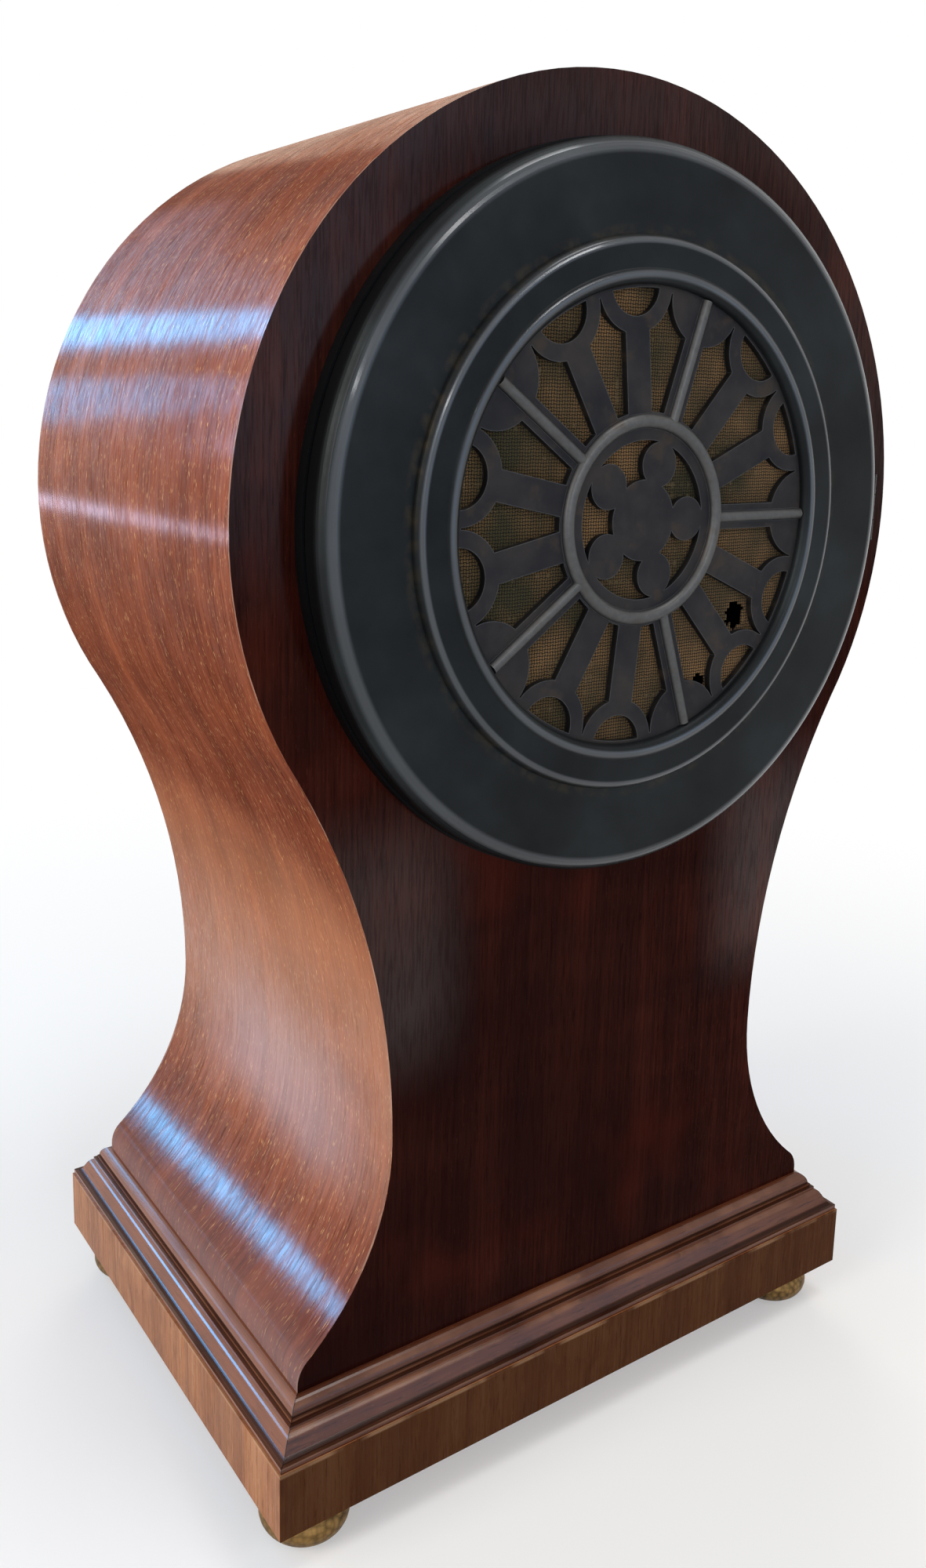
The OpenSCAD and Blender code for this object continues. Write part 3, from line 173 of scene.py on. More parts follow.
class Finish:
    def __init__(self, name):
        self.material = bpy.data.materials.new(name)
        self.material.use_nodes = True
        self.tree = self.material.node_tree
        self.tree.nodes.clear()
        self.surface = self.tree.nodes.new("ShaderNodeBsdfPrincipled")
        output = self.tree.nodes.new("ShaderNodeOutputMaterial")
        self.tree.links.new(self.surface.outputs["BSDF"], output.inputs["Surface"])

    def put(self, node, key, value):
        if isinstance(value, Sock):
            self.tree.links.new(value.socket, node.inputs[key])
        else:
            node.inputs[key].default_value = value

    def node(self, kind, settings=None, inputs=None, out=0):
        """Adds a node with its settings and inputs, and hands back one of its outputs."""
        made = self.tree.nodes.new(kind)
        for key, value in (settings or {}).items():
            if key == "stops":
                while len(made.color_ramp.elements) < len(value):
                    made.color_ramp.elements.new(0.5)
                for element, (place, colour) in zip(made.color_ramp.elements, value):
                    element.position = place
                    element.color = (*colour, 1)
            else:
                setattr(made, key, value)
        for key, value in (inputs or {}).items():
            self.put(made, key, value)
        return Sock(self, made.outputs[out])

    def place(self):
        """x, y and z in millimetres, with z counted from the head's centre."""
        where = self.node("ShaderNodeTexCoord", out="Object")
        inputs = {0: where, 1: (0, 0, -HEAD_Z)}
        centred = self.node("ShaderNodeVectorMath", {"operation": "ADD"}, inputs)
        scaled = self.node("ShaderNodeVectorMath", {"operation": "SCALE"}, {0: centred, "Scale": 1 / MM})
        return [self.node("ShaderNodeSeparateXYZ", None, {0: scaled}, axis) for axis in range(3)]

    def vector(self, x, y, z):
        return self.node("ShaderNodeCombineXYZ", None, {0: x, 1: y, 2: z})

    def noise(self, x, y, z=0.0, detail=3.0):
        inputs = {"Vector": self.vector(x, y, z), "Scale": 1.0, "Detail": detail, "Roughness": 0.55}
        return self.node("ShaderNodeTexNoise", None, inputs)

    def cells(self, x, y, z=0.0, feature="F1"):
        inputs = {"Vector": self.vector(x, y, z), "Scale": 1.0}
        return self.node("ShaderNodeTexVoronoi", {"feature": feature}, inputs)

    def tones(self, value, *stops):
        """A colour for each value. A stop is a place from 0 to 1 and the colour there."""
        return self.node("ShaderNodeValToRGB", {"stops": stops}, {"Fac": value})

    def mix(self, share, first, second, blend="MIX"):
        settings = {"data_type": "RGBA", "blend_type": blend, "clamp_factor": True}
        first, second = ((*c, 1) if isinstance(c, tuple) else c for c in (first, second))
        inputs = {MIX_SHARE: share, MIX_FIRST: first, MIX_SECOND: second}
        return self.node("ShaderNodeMix", settings, inputs, MIX_RESULT)

    def bump(self, height, depth_mm, strength):
        inputs = {"Height": height, "Distance": depth_mm * MM, "Strength": strength}
        return self.node("ShaderNodeBump", None, inputs)

    def corners(self, width_mm):
        """1 along the corners of the mesh, within about width_mm of them."""
        inputs = {
            0: self.node("ShaderNodeBevel", {"samples": 4}, {"Radius": width_mm * MM}),
            1: self.node("ShaderNodeNewGeometry", out="True Normal"),
        }
        turn = self.node("ShaderNodeVectorMath", {"operation": "DOT_PRODUCT"}, inputs, "Value")
        return (1 - turn).ramp(*CORNER_TURN)

    def shade(self, **sockets):
        """Fills the shader's sockets by plain names: coat_ior stands for Coat IOR."""
        names = {"colour": "Base Color", "bump": "Normal", "coat": "Coat Weight"}
        for key, value in sockets.items():
            value = (*value, 1) if isinstance(value, tuple) else value
            name = names.get(key, key.replace("_", " ").title().replace("Ior", "IOR"))
            self.put(self.surface, name, value)
        return self.material


print("shader helpers ready")

# %% [markdown]
# ## Mahogany, the wood of the case
# Mahogany veneer has several scales of pattern: broad ribbons a finger wide, fine fibres with a shimmer
# across them, and dark pores and pale gleams that show as short flecks along the grain. One function makes
# them all from two lengths, along and across the grain, so each board only has to say which way its grain
# runs. On the bent side the grain follows the outline round the head and down the waist. Painted light and
# reflection make the veneer paler on the shoulder and the waist, and multiplying keeps the grain under it.
# Painted reflections lie over the side too: a tan one over the waist and a cooler one below it, and a pale
# grey one, with dust, in the corner above the moulding.
#
# French polish is a clear layer over the wood. The shader's coat is just that, so the coat alone carries the
# gloss, and the wood under it has no shine of its own. Hands that lift the clock by its neck have worn the
# polish there, and it is fresh on the shoulder and on the flare, so the weight of the coat varies down the
# side.

# %% Veneer pattern
# Each row: waves to the millimetre along and across the grain, a seed of its own, and the detail.
GRAIN = (
    (0.006, 0.11, 0.0, 4.0),    # ribbon
    (0.03, 1.3, 3.1, 3.0),      # fibre
    (0.075, 0.02, 9.4, 2.0),    # shimmer
    (0.16, 2.6, 5.7, 2.0),      # pore
    (0.55, 4.6, 21.3, 1.0),     # gleam
)
PORE_SHADE = 0.3


def veneer(finish, along, across, dark, middle, pale, fleck):
    """The colour of a veneer in four tones, with its fibres and pores for the gloss and the bump."""
    ribbon, fibre, shimmer, pore, gleam = (
        finish.noise(along * long, across * wide, seed, detail) for long, wide, seed, detail in GRAIN)
    figure = 0.40 * ribbon + 0.36 * fibre + 0.24 * shimmer
    wood = finish.tones(figure, (0.37, dark), (0.5, middle), (0.63, pale))
    wood = finish.mix(pore.ramp(0.56, 0.70) * 0.6, wood, tuple(PORE_SHADE * c for c in dark))
    wood = finish.mix(gleam.ramp(0.65, 0.76) * 0.65, wood, fleck)
    return wood, fibre, pore


# %% Side veneer
SIDE_TONES = {"dark": (0.082, 0.0165, 0.0070), "middle": (0.145, 0.0325, 0.0130),
              "pale": (0.225, 0.058, 0.022), "fleck": (0.62, 0.34, 0.13)}
SIDE_GLOW, PAINTED_LIGHT_LIFT = (0.34, 0.082, 0.024), (1.38, 1.42, 1.42)
TAN_PAINTED_REFLECTION, LILAC_PAINTED_REFLECTION, FOOT_DUST_AND_REFLECTION = (0.47, 0.225, 0.125), (0.43, 0.350, 0.395), (0.30, 0.235, 0.235)
POLISH = {"specular_ior_level": 0.0, "coat_roughness": 0.15, "coat_ior": 1.5}
# Where the head's circle ends and the waist begins: its angle from the top, and its drop.
NECK_ANGLE, NECK_DROP = 2.113, 46.4
# Heights from the head's centre, in millimetres. Each pair is where a change starts and where it ends.
SHOULDER_LIGHT_RISES, CROWN_LIGHT_DROPS = (-20.0, 15.0), (40.0, 80.0)
FLARE_LIGHT_RISES, NECK_LIGHT_DROPS = (-172.0, -150.0), (-110.0, -65.0)
LILAC_STARTS, LILAC_ENDS, FOOT_GREY_ENDS = (-156.0, -142.0), (-138.0, -108.0), (-179.0, -169.0)
SHOULDER_SHINES, CROWN_WORN = (-40.0, 20.0), (38.0, 72.0)
FLARE_SHINES, NECK_WORN, FOOT_DULL = (-176.0, -167.0), (-130.0, -85.0), (-178.0, -172.0)
# Bands: the middle, half the width and the soft edge. The first is a height and the second a depth.
TAN_BAND, LILAC_BAND = (-110.0, 16.0, 34.0), (4.0, 12.0, 42.0)
LILAC_WANDER = 8.0


def along_the_outline(x, z):
    """Length along the bent side, from the top of the hood: round the head, then down the waist."""
    round_head = x.angle(z) * HEAD_R
    down_waist = x.sign() * (NECK_ANGLE * HEAD_R - NECK_DROP - z)
    below = z < -NECK_DROP
    return round_head * (1 - below) + down_waist * below


def side_wood(finish, x, y, z):
    """The bent side's colour, with painted light and painted reflections, and its fibres and pores."""
    along = along_the_outline(x, z)
    wood, fibre, pore = veneer(finish, along, y, **SIDE_TONES)
    # Painted light and reflection: the veneer is made paler on the shoulder and on the waist.
    shoulder = z.ramp(*SHOULDER_LIGHT_RISES) * (1 - 0.6 * z.ramp(*CROWN_LIGHT_DROPS))
    waist = z.ramp(*FLARE_LIGHT_RISES) * (1 - z.ramp(*NECK_LIGHT_DROPS))
    wood = finish.mix(shoulder + waist, wood, PAINTED_LIGHT_LIFT, "MULTIPLY")
    glow = finish.noise(along * 0.012, y * 0.05, 31.0, detail=2.0).ramp(0.5, 0.75)
    wood = finish.mix(glow * 0.25, wood, SIDE_GLOW)
    patch = finish.noise(along * 0.02, y * 0.03, 52.0, detail=2.0).ramp(0.25, 0.6)
    # Painted reflection: a tan haze over the waist.
    tan_reflection = z.band(*TAN_BAND) * (0.6 + 0.4 * patch)
    wood = finish.mix(tan_reflection * 0.42, wood, TAN_PAINTED_REFLECTION)
    # Painted reflection: a lilac haze below the waist, wandering in height.
    drift = z + LILAC_WANDER * (finish.noise(z * 0.03, y * 0.025, 63.0, detail=2.0) - 0.5)
    low = drift.ramp(*LILAC_STARTS) * (1 - drift.ramp(*LILAC_ENDS)) * y.band(*LILAC_BAND)
    wood = finish.mix(low * (0.20 + 0.28 * fibre), wood, LILAC_PAINTED_REFLECTION)
    # Dust and a painted reflection: paler grey at the foot of the flare.
    dust = 0.35 - 0.35 * z.ramp(*FOOT_GREY_ENDS)
    return finish.mix(dust, wood, FOOT_DUST_AND_REFLECTION), fibre, pore


def side_gloss(finish, x, y, z, pore):
    """How much polish is left: little on the neck and the crown, much on the shoulder and the flare."""
    smear = finish.noise(x * 0.03, y * 0.05, z * 0.03)
    spots = finish.noise(along_the_outline(x, z) * 0.22, y * 0.8, 44.0, detail=2.0).ramp(0.35, 0.6)
    shoulder = z.ramp(*SHOULDER_SHINES) * (1 - 0.88 * z.ramp(*CROWN_WORN))
    flare = z.ramp(*FLARE_SHINES) * (1 - z.ramp(*NECK_WORN))
    fresh = (0.06 + 0.5 * shoulder + 0.8 * flare) * z.ramp(*FOOT_DULL)
    return fresh * (0.4 + 1.2 * smear) * (0.6 + 0.4 * spots) * (1 - 0.35 * pore.ramp(0.45, 0.62))


def polished_side():
    finish = Finish("polished_side_veneer")
    x, y, z = finish.place()
    wood, fibre, pore = side_wood(finish, x, y, z)
    return finish.shade(colour=wood, roughness=0.30 + 0.2 * fibre, coat=side_gloss(finish, x, y, z, pore),
                        bump=finish.bump(fibre + pore, 0.03, 0.5), **POLISH)


side_veneer = polished_side()
print("side veneer:", side_veneer.name)

# %% [markdown]
# ## Boards with two faces
# The back board is almost black with age on its face, but its edge is part of the veneered side. Both looks
# live in one material and the depth of the point chooses: within a hair of the face it is the board, and
# short of that it is the side, with the side's own grain and polish. The sharp corner between them is rubbed
# pale, as any corner that is dusted for a hundred years, and the pale line is also a painted highlight. The
# face is darker towards the clock's own left with painted shade. On the face the polish has lasted best on
# the shoulders, the crown and the hips.

# %% Back and front boards
BACK_TONES = {"dark": (0.010, 0.0019, 0.0014), "middle": (0.025, 0.0050, 0.0030),
              "pale": (0.051, 0.0105, 0.0056), "fleck": (0.06, 0.016, 0.009)}
FRONT_TONES = {"dark": (0.10, 0.022, 0.008), "middle": (0.180, 0.045, 0.014),
               "pale": (0.28, 0.082, 0.026), "fleck": (0.42, 0.19, 0.08)}
BACK_FLAME, FRONT_FLAME = (0.058, 0.0080, 0.0038), (0.26, 0.060, 0.018)
BACK_ROUGHNESS, FRONT_ROUGHNESS = 0.24, 0.26
RUBBED_AND_HIGHLIGHT_PALE = (0.46, 0.30, 0.22)
# A shift along and across the grain, so that the faces show another part of the pattern than the side.
SHIFT_ALONG, SHIFT_ACROSS = 11.0, 140.0
# Depths of the face and of its rubbed and highlighted corner, then widths and heights on the face.
FACE_STARTS, RUBBED_AND_HIGHLIGHT_BAND = (FACE - 0.12, FACE - 0.03), (FACE - 0.35, 0.15, 0.2)
PAINTED_SHADE_SIDE = (-50.0, 40.0)
SHOULDER_OUT, SHOULDER_UP, CROWN_UP = (30.0, 75.0), (-25.0, 20.0), (60.0, 85.0)
HIP_OUT, HIP_BAND = (30.0, 52.0), (-88.0, 12.0, 25.0)


def board(name, tones, flame_tone, roughness):
    """A board of the case: a face of its own, and an edge that belongs to the side."""
    finish = Finish(name)
    x, y, z = finish.place()
    out, depth = abs(x), abs(y)
    edge_wood, fibre, pore = side_wood(finish, x, y, z)
    face_wood, face_fibre, face_pore = veneer(finish, z + SHIFT_ALONG, x + SHIFT_ACROSS, **tones)
    age = finish.noise(x * 0.012, z * 0.012, 4.4, detail=2.0).ramp(0.4, 0.65)
    # Painted shade: the face is darker towards the clock's own left, besides the random age.
    face_wood = finish.mix(age * 0.5 + 0.35 * x.ramp(*PAINTED_SHADE_SIDE), face_wood, tones["dark"])
    flame = finish.noise(x * 0.022, z * 0.014, 17.0).ramp(0.52, 0.7)
    face_wood = finish.mix(flame * 0.5, face_wood, flame_tone)
    on_face = depth.ramp(*FACE_STARTS)
    wood = finish.mix(on_face, edge_wood, face_wood)
    # Wear and painted highlight: a pale line along the corner of the face.
    rubbed = depth.band(*RUBBED_AND_HIGHLIGHT_BAND) * finish.noise(x * 0.05, z * 0.05, 2.0).ramp(0.45, 0.65)
    wood = finish.mix(rubbed * 0.4, wood, RUBBED_AND_HIGHLIGHT_PALE)
    smear = finish.noise(x * 0.013, z * 0.018, y * 0.03)
    shoulder = z.ramp(*SHOULDER_UP) * out.ramp(*SHOULDER_OUT)
    hip = out.ramp(*HIP_OUT) * z.band(*HIP_BAND)
    fresh = 0.05 + 0.26 * shoulder + 0.26 * z.ramp(*CROWN_UP) + 0.5 * hip
    face_gloss = fresh * (0.5 + smear) * (1 - 0.3 * face_pore.ramp(0.45, 0.6))
    edge_gloss = side_gloss(finish, x, y, z, pore)
    height = (face_fibre + face_pore) * on_face + (fibre + pore) * (1 - on_face)
    return finish.shade(colour=wood, roughness=roughness + 0.16 * smear,
                        coat=face_gloss * on_face + edge_gloss * (1 - on_face),
                        bump=finish.bump(height, 0.03, 0.5), **POLISH)


back_wood = board("aged_back_board", BACK_TONES, BACK_FLAME, BACK_ROUGHNESS)
front_wood = board("front_board", FRONT_TONES, FRONT_FLAME, FRONT_ROUGHNESS)
print("boards:", back_wood.name, front_wood.name)

# %% [markdown]
# ## The plinth
# The block is crossbanded: short strips of veneer stand upright side by side, so its grain runs up every
# face. The moulding above it is four mitred lengths, each with its grain along its own length. Which length a
# point lies on follows from the mitre: it is the side whose overhang is the larger. The back of the moulding
# is darkened with painted shade and its sides are made paler with painted light. Wax and dust, with painted
# shade, darken the hollows of the moulding, and dusting rubs its crests, which also carry painted highlights;
# both follow from the height above the block. The top edge of the block is rubbed and painted pale too.

# %% Plinth block
BLOCK_TONES = {"dark": (0.225, 0.074, 0.025), "middle": (0.30, 0.110, 0.038),
               "pale": (0.37, 0.150, 0.056), "fleck": (0.42, 0.20, 0.085)}
DARK_STRIP, BLOCK_SHADE, BLOCK_RUBBED_AND_HIGHLIGHT = (0.120, 0.034, 0.011), (0.018, 0.0046, 0.0014), (0.45, 0.26, 0.14)
block_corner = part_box("plinth_block")[1]
BLOCK_TOP, BLOCK_BACK = (block_corner.z - HEAD_Z) / MM, block_corner.y / MM
BLOCK_BACK_STARTS, BLOCK_EDGE = (BLOCK_BACK - 0.3, BLOCK_BACK - 0.1), (BLOCK_TOP - 0.2, 0.2, 0.5)
STRIP_WANDER = 9.0


def crossbanded_block():
    finish = Finish("crossbanded_block")
    x, y, z = finish.place()
    run = x + y
    wood, fibre, pore = veneer(finish, z, run * 0.9, **BLOCK_TONES)
    wander = finish.noise(run * 0.03, z * 0.09, 14.0, detail=2.0) * STRIP_WANDER
    strip = finish.noise((run + wander) * 0.17, z * 0.012, 6.0, detail=2.0)
    wood = finish.mix(strip.ramp(0.42, 0.64) * 0.42, wood, DARK_STRIP)
    shaded = y.ramp(*BLOCK_BACK_STARTS)
    wood = finish.mix(shaded * 0.82, wood, BLOCK_SHADE)
    # Wear and painted highlight: a pale line along the block's top edge.
    rubbed = z.band(*BLOCK_EDGE) * finish.noise(run * 0.08, z * 0.02).ramp(0.4, 0.6)
    wood = finish.mix(rubbed * 0.35, wood, BLOCK_RUBBED_AND_HIGHLIGHT)
    return finish.shade(colour=wood, roughness=0.36 + 0.12 * strip, coat=(0.9 - 0.7 * shaded) * fibre,
                        bump=finish.bump(fibre + pore, 0.04, 0.5), **POLISH)


# %% Moulding and stringing
MOULDING_TONES = {"dark": (0.075, 0.019, 0.0085), "middle": (0.130, 0.036, 0.015),
                  "pale": (0.20, 0.062, 0.024), "fleck": (0.21, 0.075, 0.030)}
BOXWOOD_TONES = {"dark": (0.42, 0.27, 0.11), "middle": (0.58, 0.40, 0.18),
                 "pale": (0.68, 0.50, 0.25), "fleck": (0.75, 0.6, 0.33)}
BACK_PAINTED_SHADE, SIDE_PAINTED_LIGHT, CREST_RUBBED_AND_HIGHLIGHT = (0.026, 0.0088, 0.0046), (0.30, 0.115, 0.062), (0.27, 0.125, 0.070)
WAX_AND_SHADE, MITRE_GAP = (0.012, 0.0045, 0.003), (0.012, 0.005, 0.003)
# Half the length and depth of the rectangle whose corners the mitres start from.
MITRE_X, MITRE_Y = 76.2, 54.5
MITRE_WIDTH = (0.05, 0.22)
# Heights over the block: the middle, half the width and the soft edge of each band.
SHADED_HOLLOWS = ((1.6, 0.15, 0.5), (6.85, 0.1, 0.45), (6.0, 0.03, 0.12))
RUBBED_AND_LIT_CRESTS = ((1.12, 0.08, 0.2), (4.9, 0.2, 0.6), (6.5, 0.08, 0.12), (8.7, 0.3, 0.5))


def mitred_moulding():
    finish = Finish("mitred_moulding")
    x, y, z = finish.place()
    over_x, over_y = abs(x) - MITRE_X, abs(y) - MITRE_Y
    on_side = over_x > over_y
    along = y * on_side + x * (1 - on_side)
    across = (over_x * on_side + over_y * (1 - on_side)) * 0.8 + z
    wood, fibre, pore = veneer(finish, along, across * 1.4, **MOULDING_TONES)
    on_back = (1 - on_side) * (y > 0.0)
    # Painted shade darkens the back length and painted light makes the two side lengths paler.
    wood = finish.mix(on_back * 0.48, wood, BACK_PAINTED_SHADE)
    wood = finish.mix(on_side * 0.3, wood, SIDE_PAINTED_LIGHT)
    over_block = z - BLOCK_TOP
    # Wax and painted shade: the hollows of the profile are darkened.
    grime_and_shade = over_block.bands(SHADED_HOLLOWS)
    wood = finish.mix(grime_and_shade * 0.8, wood, WAX_AND_SHADE)
    # Wear and painted highlights: pale lines along the crests of the profile.
    wear = finish.noise(along * 0.05, across * 0.1, 8.0).ramp(0.35, 0.7)
    wood = finish.mix(over_block.bands(RUBBED_AND_LIT_CRESTS) * wear * 0.45, wood, CREST_RUBBED_AND_HIGHLIGHT)
    mitre = 1 - abs(over_x - over_y).ramp(*MITRE_WIDTH)
    wood = finish.mix(mitre, wood, MITRE_GAP)
    gloss = (0.65 + 0.35 * on_side) * (1 - 0.7 * grime_and_shade)
    return finish.shade(colour=wood, roughness=0.24 + 0.16 * fibre, coat=gloss,
                        bump=finish.bump(fibre + pore, 0.02, 0.4), **{**POLISH, "coat_roughness": 0.18})


def boxwood_line():
    finish = Finish("boxwood_line")
    x, y, z = finish.place()
    wood, fibre, pore = veneer(finish, z, x, **BOXWOOD_TONES)
    return finish.shade(colour=wood, roughness=0.32 + 0.1 * fibre, coat=0.4 + 0.1 * pore, **POLISH)


print("block top at", round(BLOCK_TOP, 1), "mm from the head's centre")

# %% [markdown]
# ## Bronzed brass
# The rear door is spun brass with a dark bronze patina: black on the steep outer wall, blue-grey on the broad
# flat, and worn towards bare metal along the edges of its steps, where the pale wear is also a painted
# highlight. The radius from the door's centre and the height above the case tell these places apart, so the
# wear follows the turned profile. The fret has corners in every direction, so its painted glints, which stand
# for highlight and wear on its edges, are found another way: a rounded normal is compared with the true one,
# and they differ at a corner.

# %% Rear door
DISH_TONES = ((0.3, (0.0064, 0.0074, 0.0080)), (0.5, (0.0114, 0.0132, 0.0142)),
              (0.7, (0.0185, 0.0220, 0.0232)))
FRET_TONES = ((0.32, (0.0105, 0.0105, 0.0125)), (0.5, (0.0185, 0.0175, 0.0195)),
              (0.68, (0.031, 0.026, 0.023)))
DISH_WALL, DISH_WORN_AND_HIGHLIGHT, DISH_DUST = (0.003, 0.003, 0.0035), (0.070, 0.078, 0.090), (0.045, 0.034, 0.020)
FRET_RIB, FRET_SIDE = (0.135, 0.134, 0.130), (0.008, 0.007, 0.006)
FRET_STAIN, FRET_GLINT = (0.06, 0.040, 0.024), (0.145, 0.150, 0.155)
# Radii from the door's centre and heights over the case, in millimetres.
WALL_OUT, WALL_ENDS = (75.2, 76.2), (5.8, 8.0)
RIB_STARTS, PLATE_STARTS = (10.1, 10.9), (9.5, 9.75)
DUSTY_STEP = (58.2, 0.4, 1.4)
# The worn edges of the turned steps, pale also as a painted highlight: a band of radii, the heights
# where it starts, and its share.
WORN_AND_HIGHLIGHT_EDGES = (
    ((74.1, 0.4, 1.1), (7.4, 9.0), 0.8),
    ((56.3, 0.25, 0.6), (10.8, 11.5), 1.0),
    ((49.7, 0.3, 0.7), (11.7, 12.1), 1.0),
)
GLINT_WIDTH = 0.35


def bronzed_dish():
    finish = Finish("bronzed_door")
    x, y, z = finish.place()
    radius, height = x.radius(z), y - FACE
    cloud = finish.noise(x * 0.035, z * 0.035, y * 0.05, detail=5.0)
    speck = finish.noise(x * 1.1, z * 1.1, y * 1.1, detail=2.0)
    rings = finish.noise(radius * 3.2, x.angle(z) * 0.35, detail=2.0)
    skin = finish.tones(cloud, *DISH_TONES)
    wall = radius.ramp(*WALL_OUT) * (1 - height.ramp(*WALL_ENDS))
    skin = finish.mix(wall * 0.9, skin, DISH_WALL)
    # Wear and painted highlight: the crests of the turned steps are paler.
    edges = sum(share * radius.band(*ring) * height.ramp(*rise) for ring, rise, share in WORN_AND_HIGHLIGHT_EDGES)
    wear = edges * (0.4 + 0.6 * finish.noise(x * 0.03, z * 0.03, 2.0))
    skin = finish.mix(wear * 0.65, skin, DISH_WORN_AND_HIGHLIGHT)
    dust = finish.noise(x * 0.3, z * 0.3, 7.0).ramp(0.4, 0.7) * radius.band(*DUSTY_STEP)
    skin = finish.mix(dust * 0.4, skin, DISH_DUST)
    return finish.shade(colour=skin, metallic=0.45 + 0.25 * wear,
                        roughness=0.33 - 0.10 * wear + 0.16 * speck,
                        coat=1.2 * wear, coat_roughness=0.12, coat_ior=1.5, specular_ior_level=0.1,
                        bump=finish.bump(0.6 * speck + rings, 0.02, 0.4))


def bronzed_fret():
    finish = Finish("bronzed_fret")
    x, y, z = finish.place()
    height = y - FACE
    cloud = finish.noise(x * 0.07, z * 0.07, 3.0, detail=5.0)
    grit = finish.noise(x * 0.8, z * 0.8, y * 0.8)
    skin = finish.tones(cloud, *FRET_TONES)
    rib = height.ramp(*RIB_STARTS)
    skin = finish.mix(rib * (0.3 + 0.4 * grit), skin, FRET_RIB)
    side = 1 - height.ramp(*PLATE_STARTS)
    skin = finish.mix(side * 0.8, skin, FRET_SIDE)
    stain = finish.noise(x * 0.16, z * 0.16, 12.0).ramp(0.56, 0.7)
    skin = finish.mix(stain * 0.3, skin, FRET_STAIN)
    # Painted highlight, with wear: pale glints along the corners of the fret.
    glint = finish.corners(GLINT_WIDTH)
    skin = finish.mix(glint * (0.25 + 0.5 * grit), skin, FRET_GLINT)
    return finish.shade(colour=skin, metallic=0.35 + 0.3 * rib, roughness=0.5 + 0.18 * grit - 0.16 * rib,
                        specular_ior_level=0.15, bump=finish.bump(grit, 0.05, 0.5))


print("door finishes defined")

# %% [markdown]
# ## Brass, steel, enamel and glass
# Most of the rest is the metal of a French movement. Turned and brushed brass differ only in which way the
# fine lines run, and the cast feet are stippled. Steel takes the same pattern in grey, and the hands are
# blued. The dial is white enamel on copper with a few hair cracks, and the glass carries a little haze so
# that it is seen at all.

# %% Metals
LINE_DEPTH = {"turned": 0.006, "brushed": 0.008, "cast": 0.12}


def lined_metal(name, lines, dull, bright, roughness, metallic=1.0):
    """A metal with fine lines: lines is one of the names in LINE_DEPTH."""
    finish = Finish(name)
    x, y, z = finish.place()
    if lines == "turned":
        line = finish.noise(x.radius(z) * 1.6, x.angle(z) * 0.5, y * 1.6, detail=2.0)
    elif lines == "brushed":
        line = finish.noise(x * 5.0, z * 0.12, y * 2.0, detail=2.0)
    else:
        line = 1 - finish.cells(x * 0.8, y * 0.8, z * 0.8)
    cloud = finish.noise(x * 0.06, y * 0.06, z * 0.06, detail=4.0)
    metal = finish.tones(0.7 * cloud + 0.3 * line, (0.34, dull), (0.62, bright))
    return finish.shade(colour=metal, metallic=metallic, roughness=roughness + 0.22 * cloud,
                        bump=finish.bump(line, LINE_DEPTH[lines], 0.5))


foot_brass = lined_metal("stippled_foot_brass", "cast", (0.045, 0.024, 0.006), (0.25, 0.142, 0.044), 0.38,
                         metallic=0.8)
bezel_brass = lined_metal("turned_bezel_brass", "turned", (0.46, 0.30, 0.10), (0.70, 0.50, 0.21), 0.17)
plate_brass = lined_metal("brushed_plate_brass", "brushed", (0.44, 0.29, 0.095), (0.70, 0.50, 0.20), 0.22)
bell_metal = lined_metal("turned_bell_metal", "turned", (0.40, 0.29, 0.13), (0.62, 0.49, 0.26), 0.18)
bright_steel = lined_metal("bright_steel", "brushed", (0.24, 0.24, 0.25), (0.50, 0.50, 0.51), 0.24)
blued_steel = lined_metal("blued_steel", "brushed", (0.010, 0.016, 0.055), (0.022, 0.040, 0.125), 0.18)
screw_steel = lined_metal("dark_screw_steel", "turned", (0.09, 0.085, 0.08), (0.22, 0.21, 0.20), 0.34)
print("finishes so far:", len(bpy.data.materials))

# %% Enamel, glass and cloth
GLAZE_TONES = ((0.3, (0.70, 0.67, 0.58)), (0.7, (0.80, 0.78, 0.71)))
INK_TONES = ((0.3, (0.008, 0.008, 0.009)), (0.7, (0.022, 0.021, 0.022)))
CLOTH_TONES = ((0.36, (0.040, 0.033, 0.013)), (0.5, (0.105, 0.062, 0.025)), (0.64, (0.20, 0.108, 0.044)))
HAIR_CRACK, GLASS_TINT = (0.25, 0.21, 0.16), (0.975, 0.98, 0.97)
CLOTH_GAP, CLOTH_SLUB = (0.005, 0.004, 0.002), (0.13, 0.09, 0.045)
# Two threads side by side, in millimetres.
THREAD_PITCH = 1.35


def white_enamel():
    finish = Finish("white_enamel")
    x, y, z = finish.place()
    cloud = finish.noise(x * 0.05, z * 0.05, 1.0)
    glaze = finish.tones(cloud, *GLAZE_TONES)
    bend = finish.noise(x * 0.2, z * 0.2, 3.0) * 0.08
    crack = finish.cells(x * 0.03 + bend, z * 0.03, feature="DISTANCE_TO_EDGE")
    hair = (1 - crack.ramp(0.002, 0.006)) * finish.noise(x * 0.04, z * 0.04, 8.0).ramp(0.58, 0.66)
    glaze = finish.mix(hair * 0.5, glaze, HAIR_CRACK)
    return finish.shade(colour=glaze, roughness=0.12 + 0.1 * cloud, coat=0.6 + 0.2 * cloud,
                        coat_roughness=0.05)


def fired_black():
    finish = Finish("fired_black")
    x, y, z = finish.place()
    cloud = finish.noise(x * 0.4, z * 0.4, 1.0)
    return finish.shade(colour=finish.tones(cloud, *INK_TONES), roughness=0.22 + 0.2 * cloud)


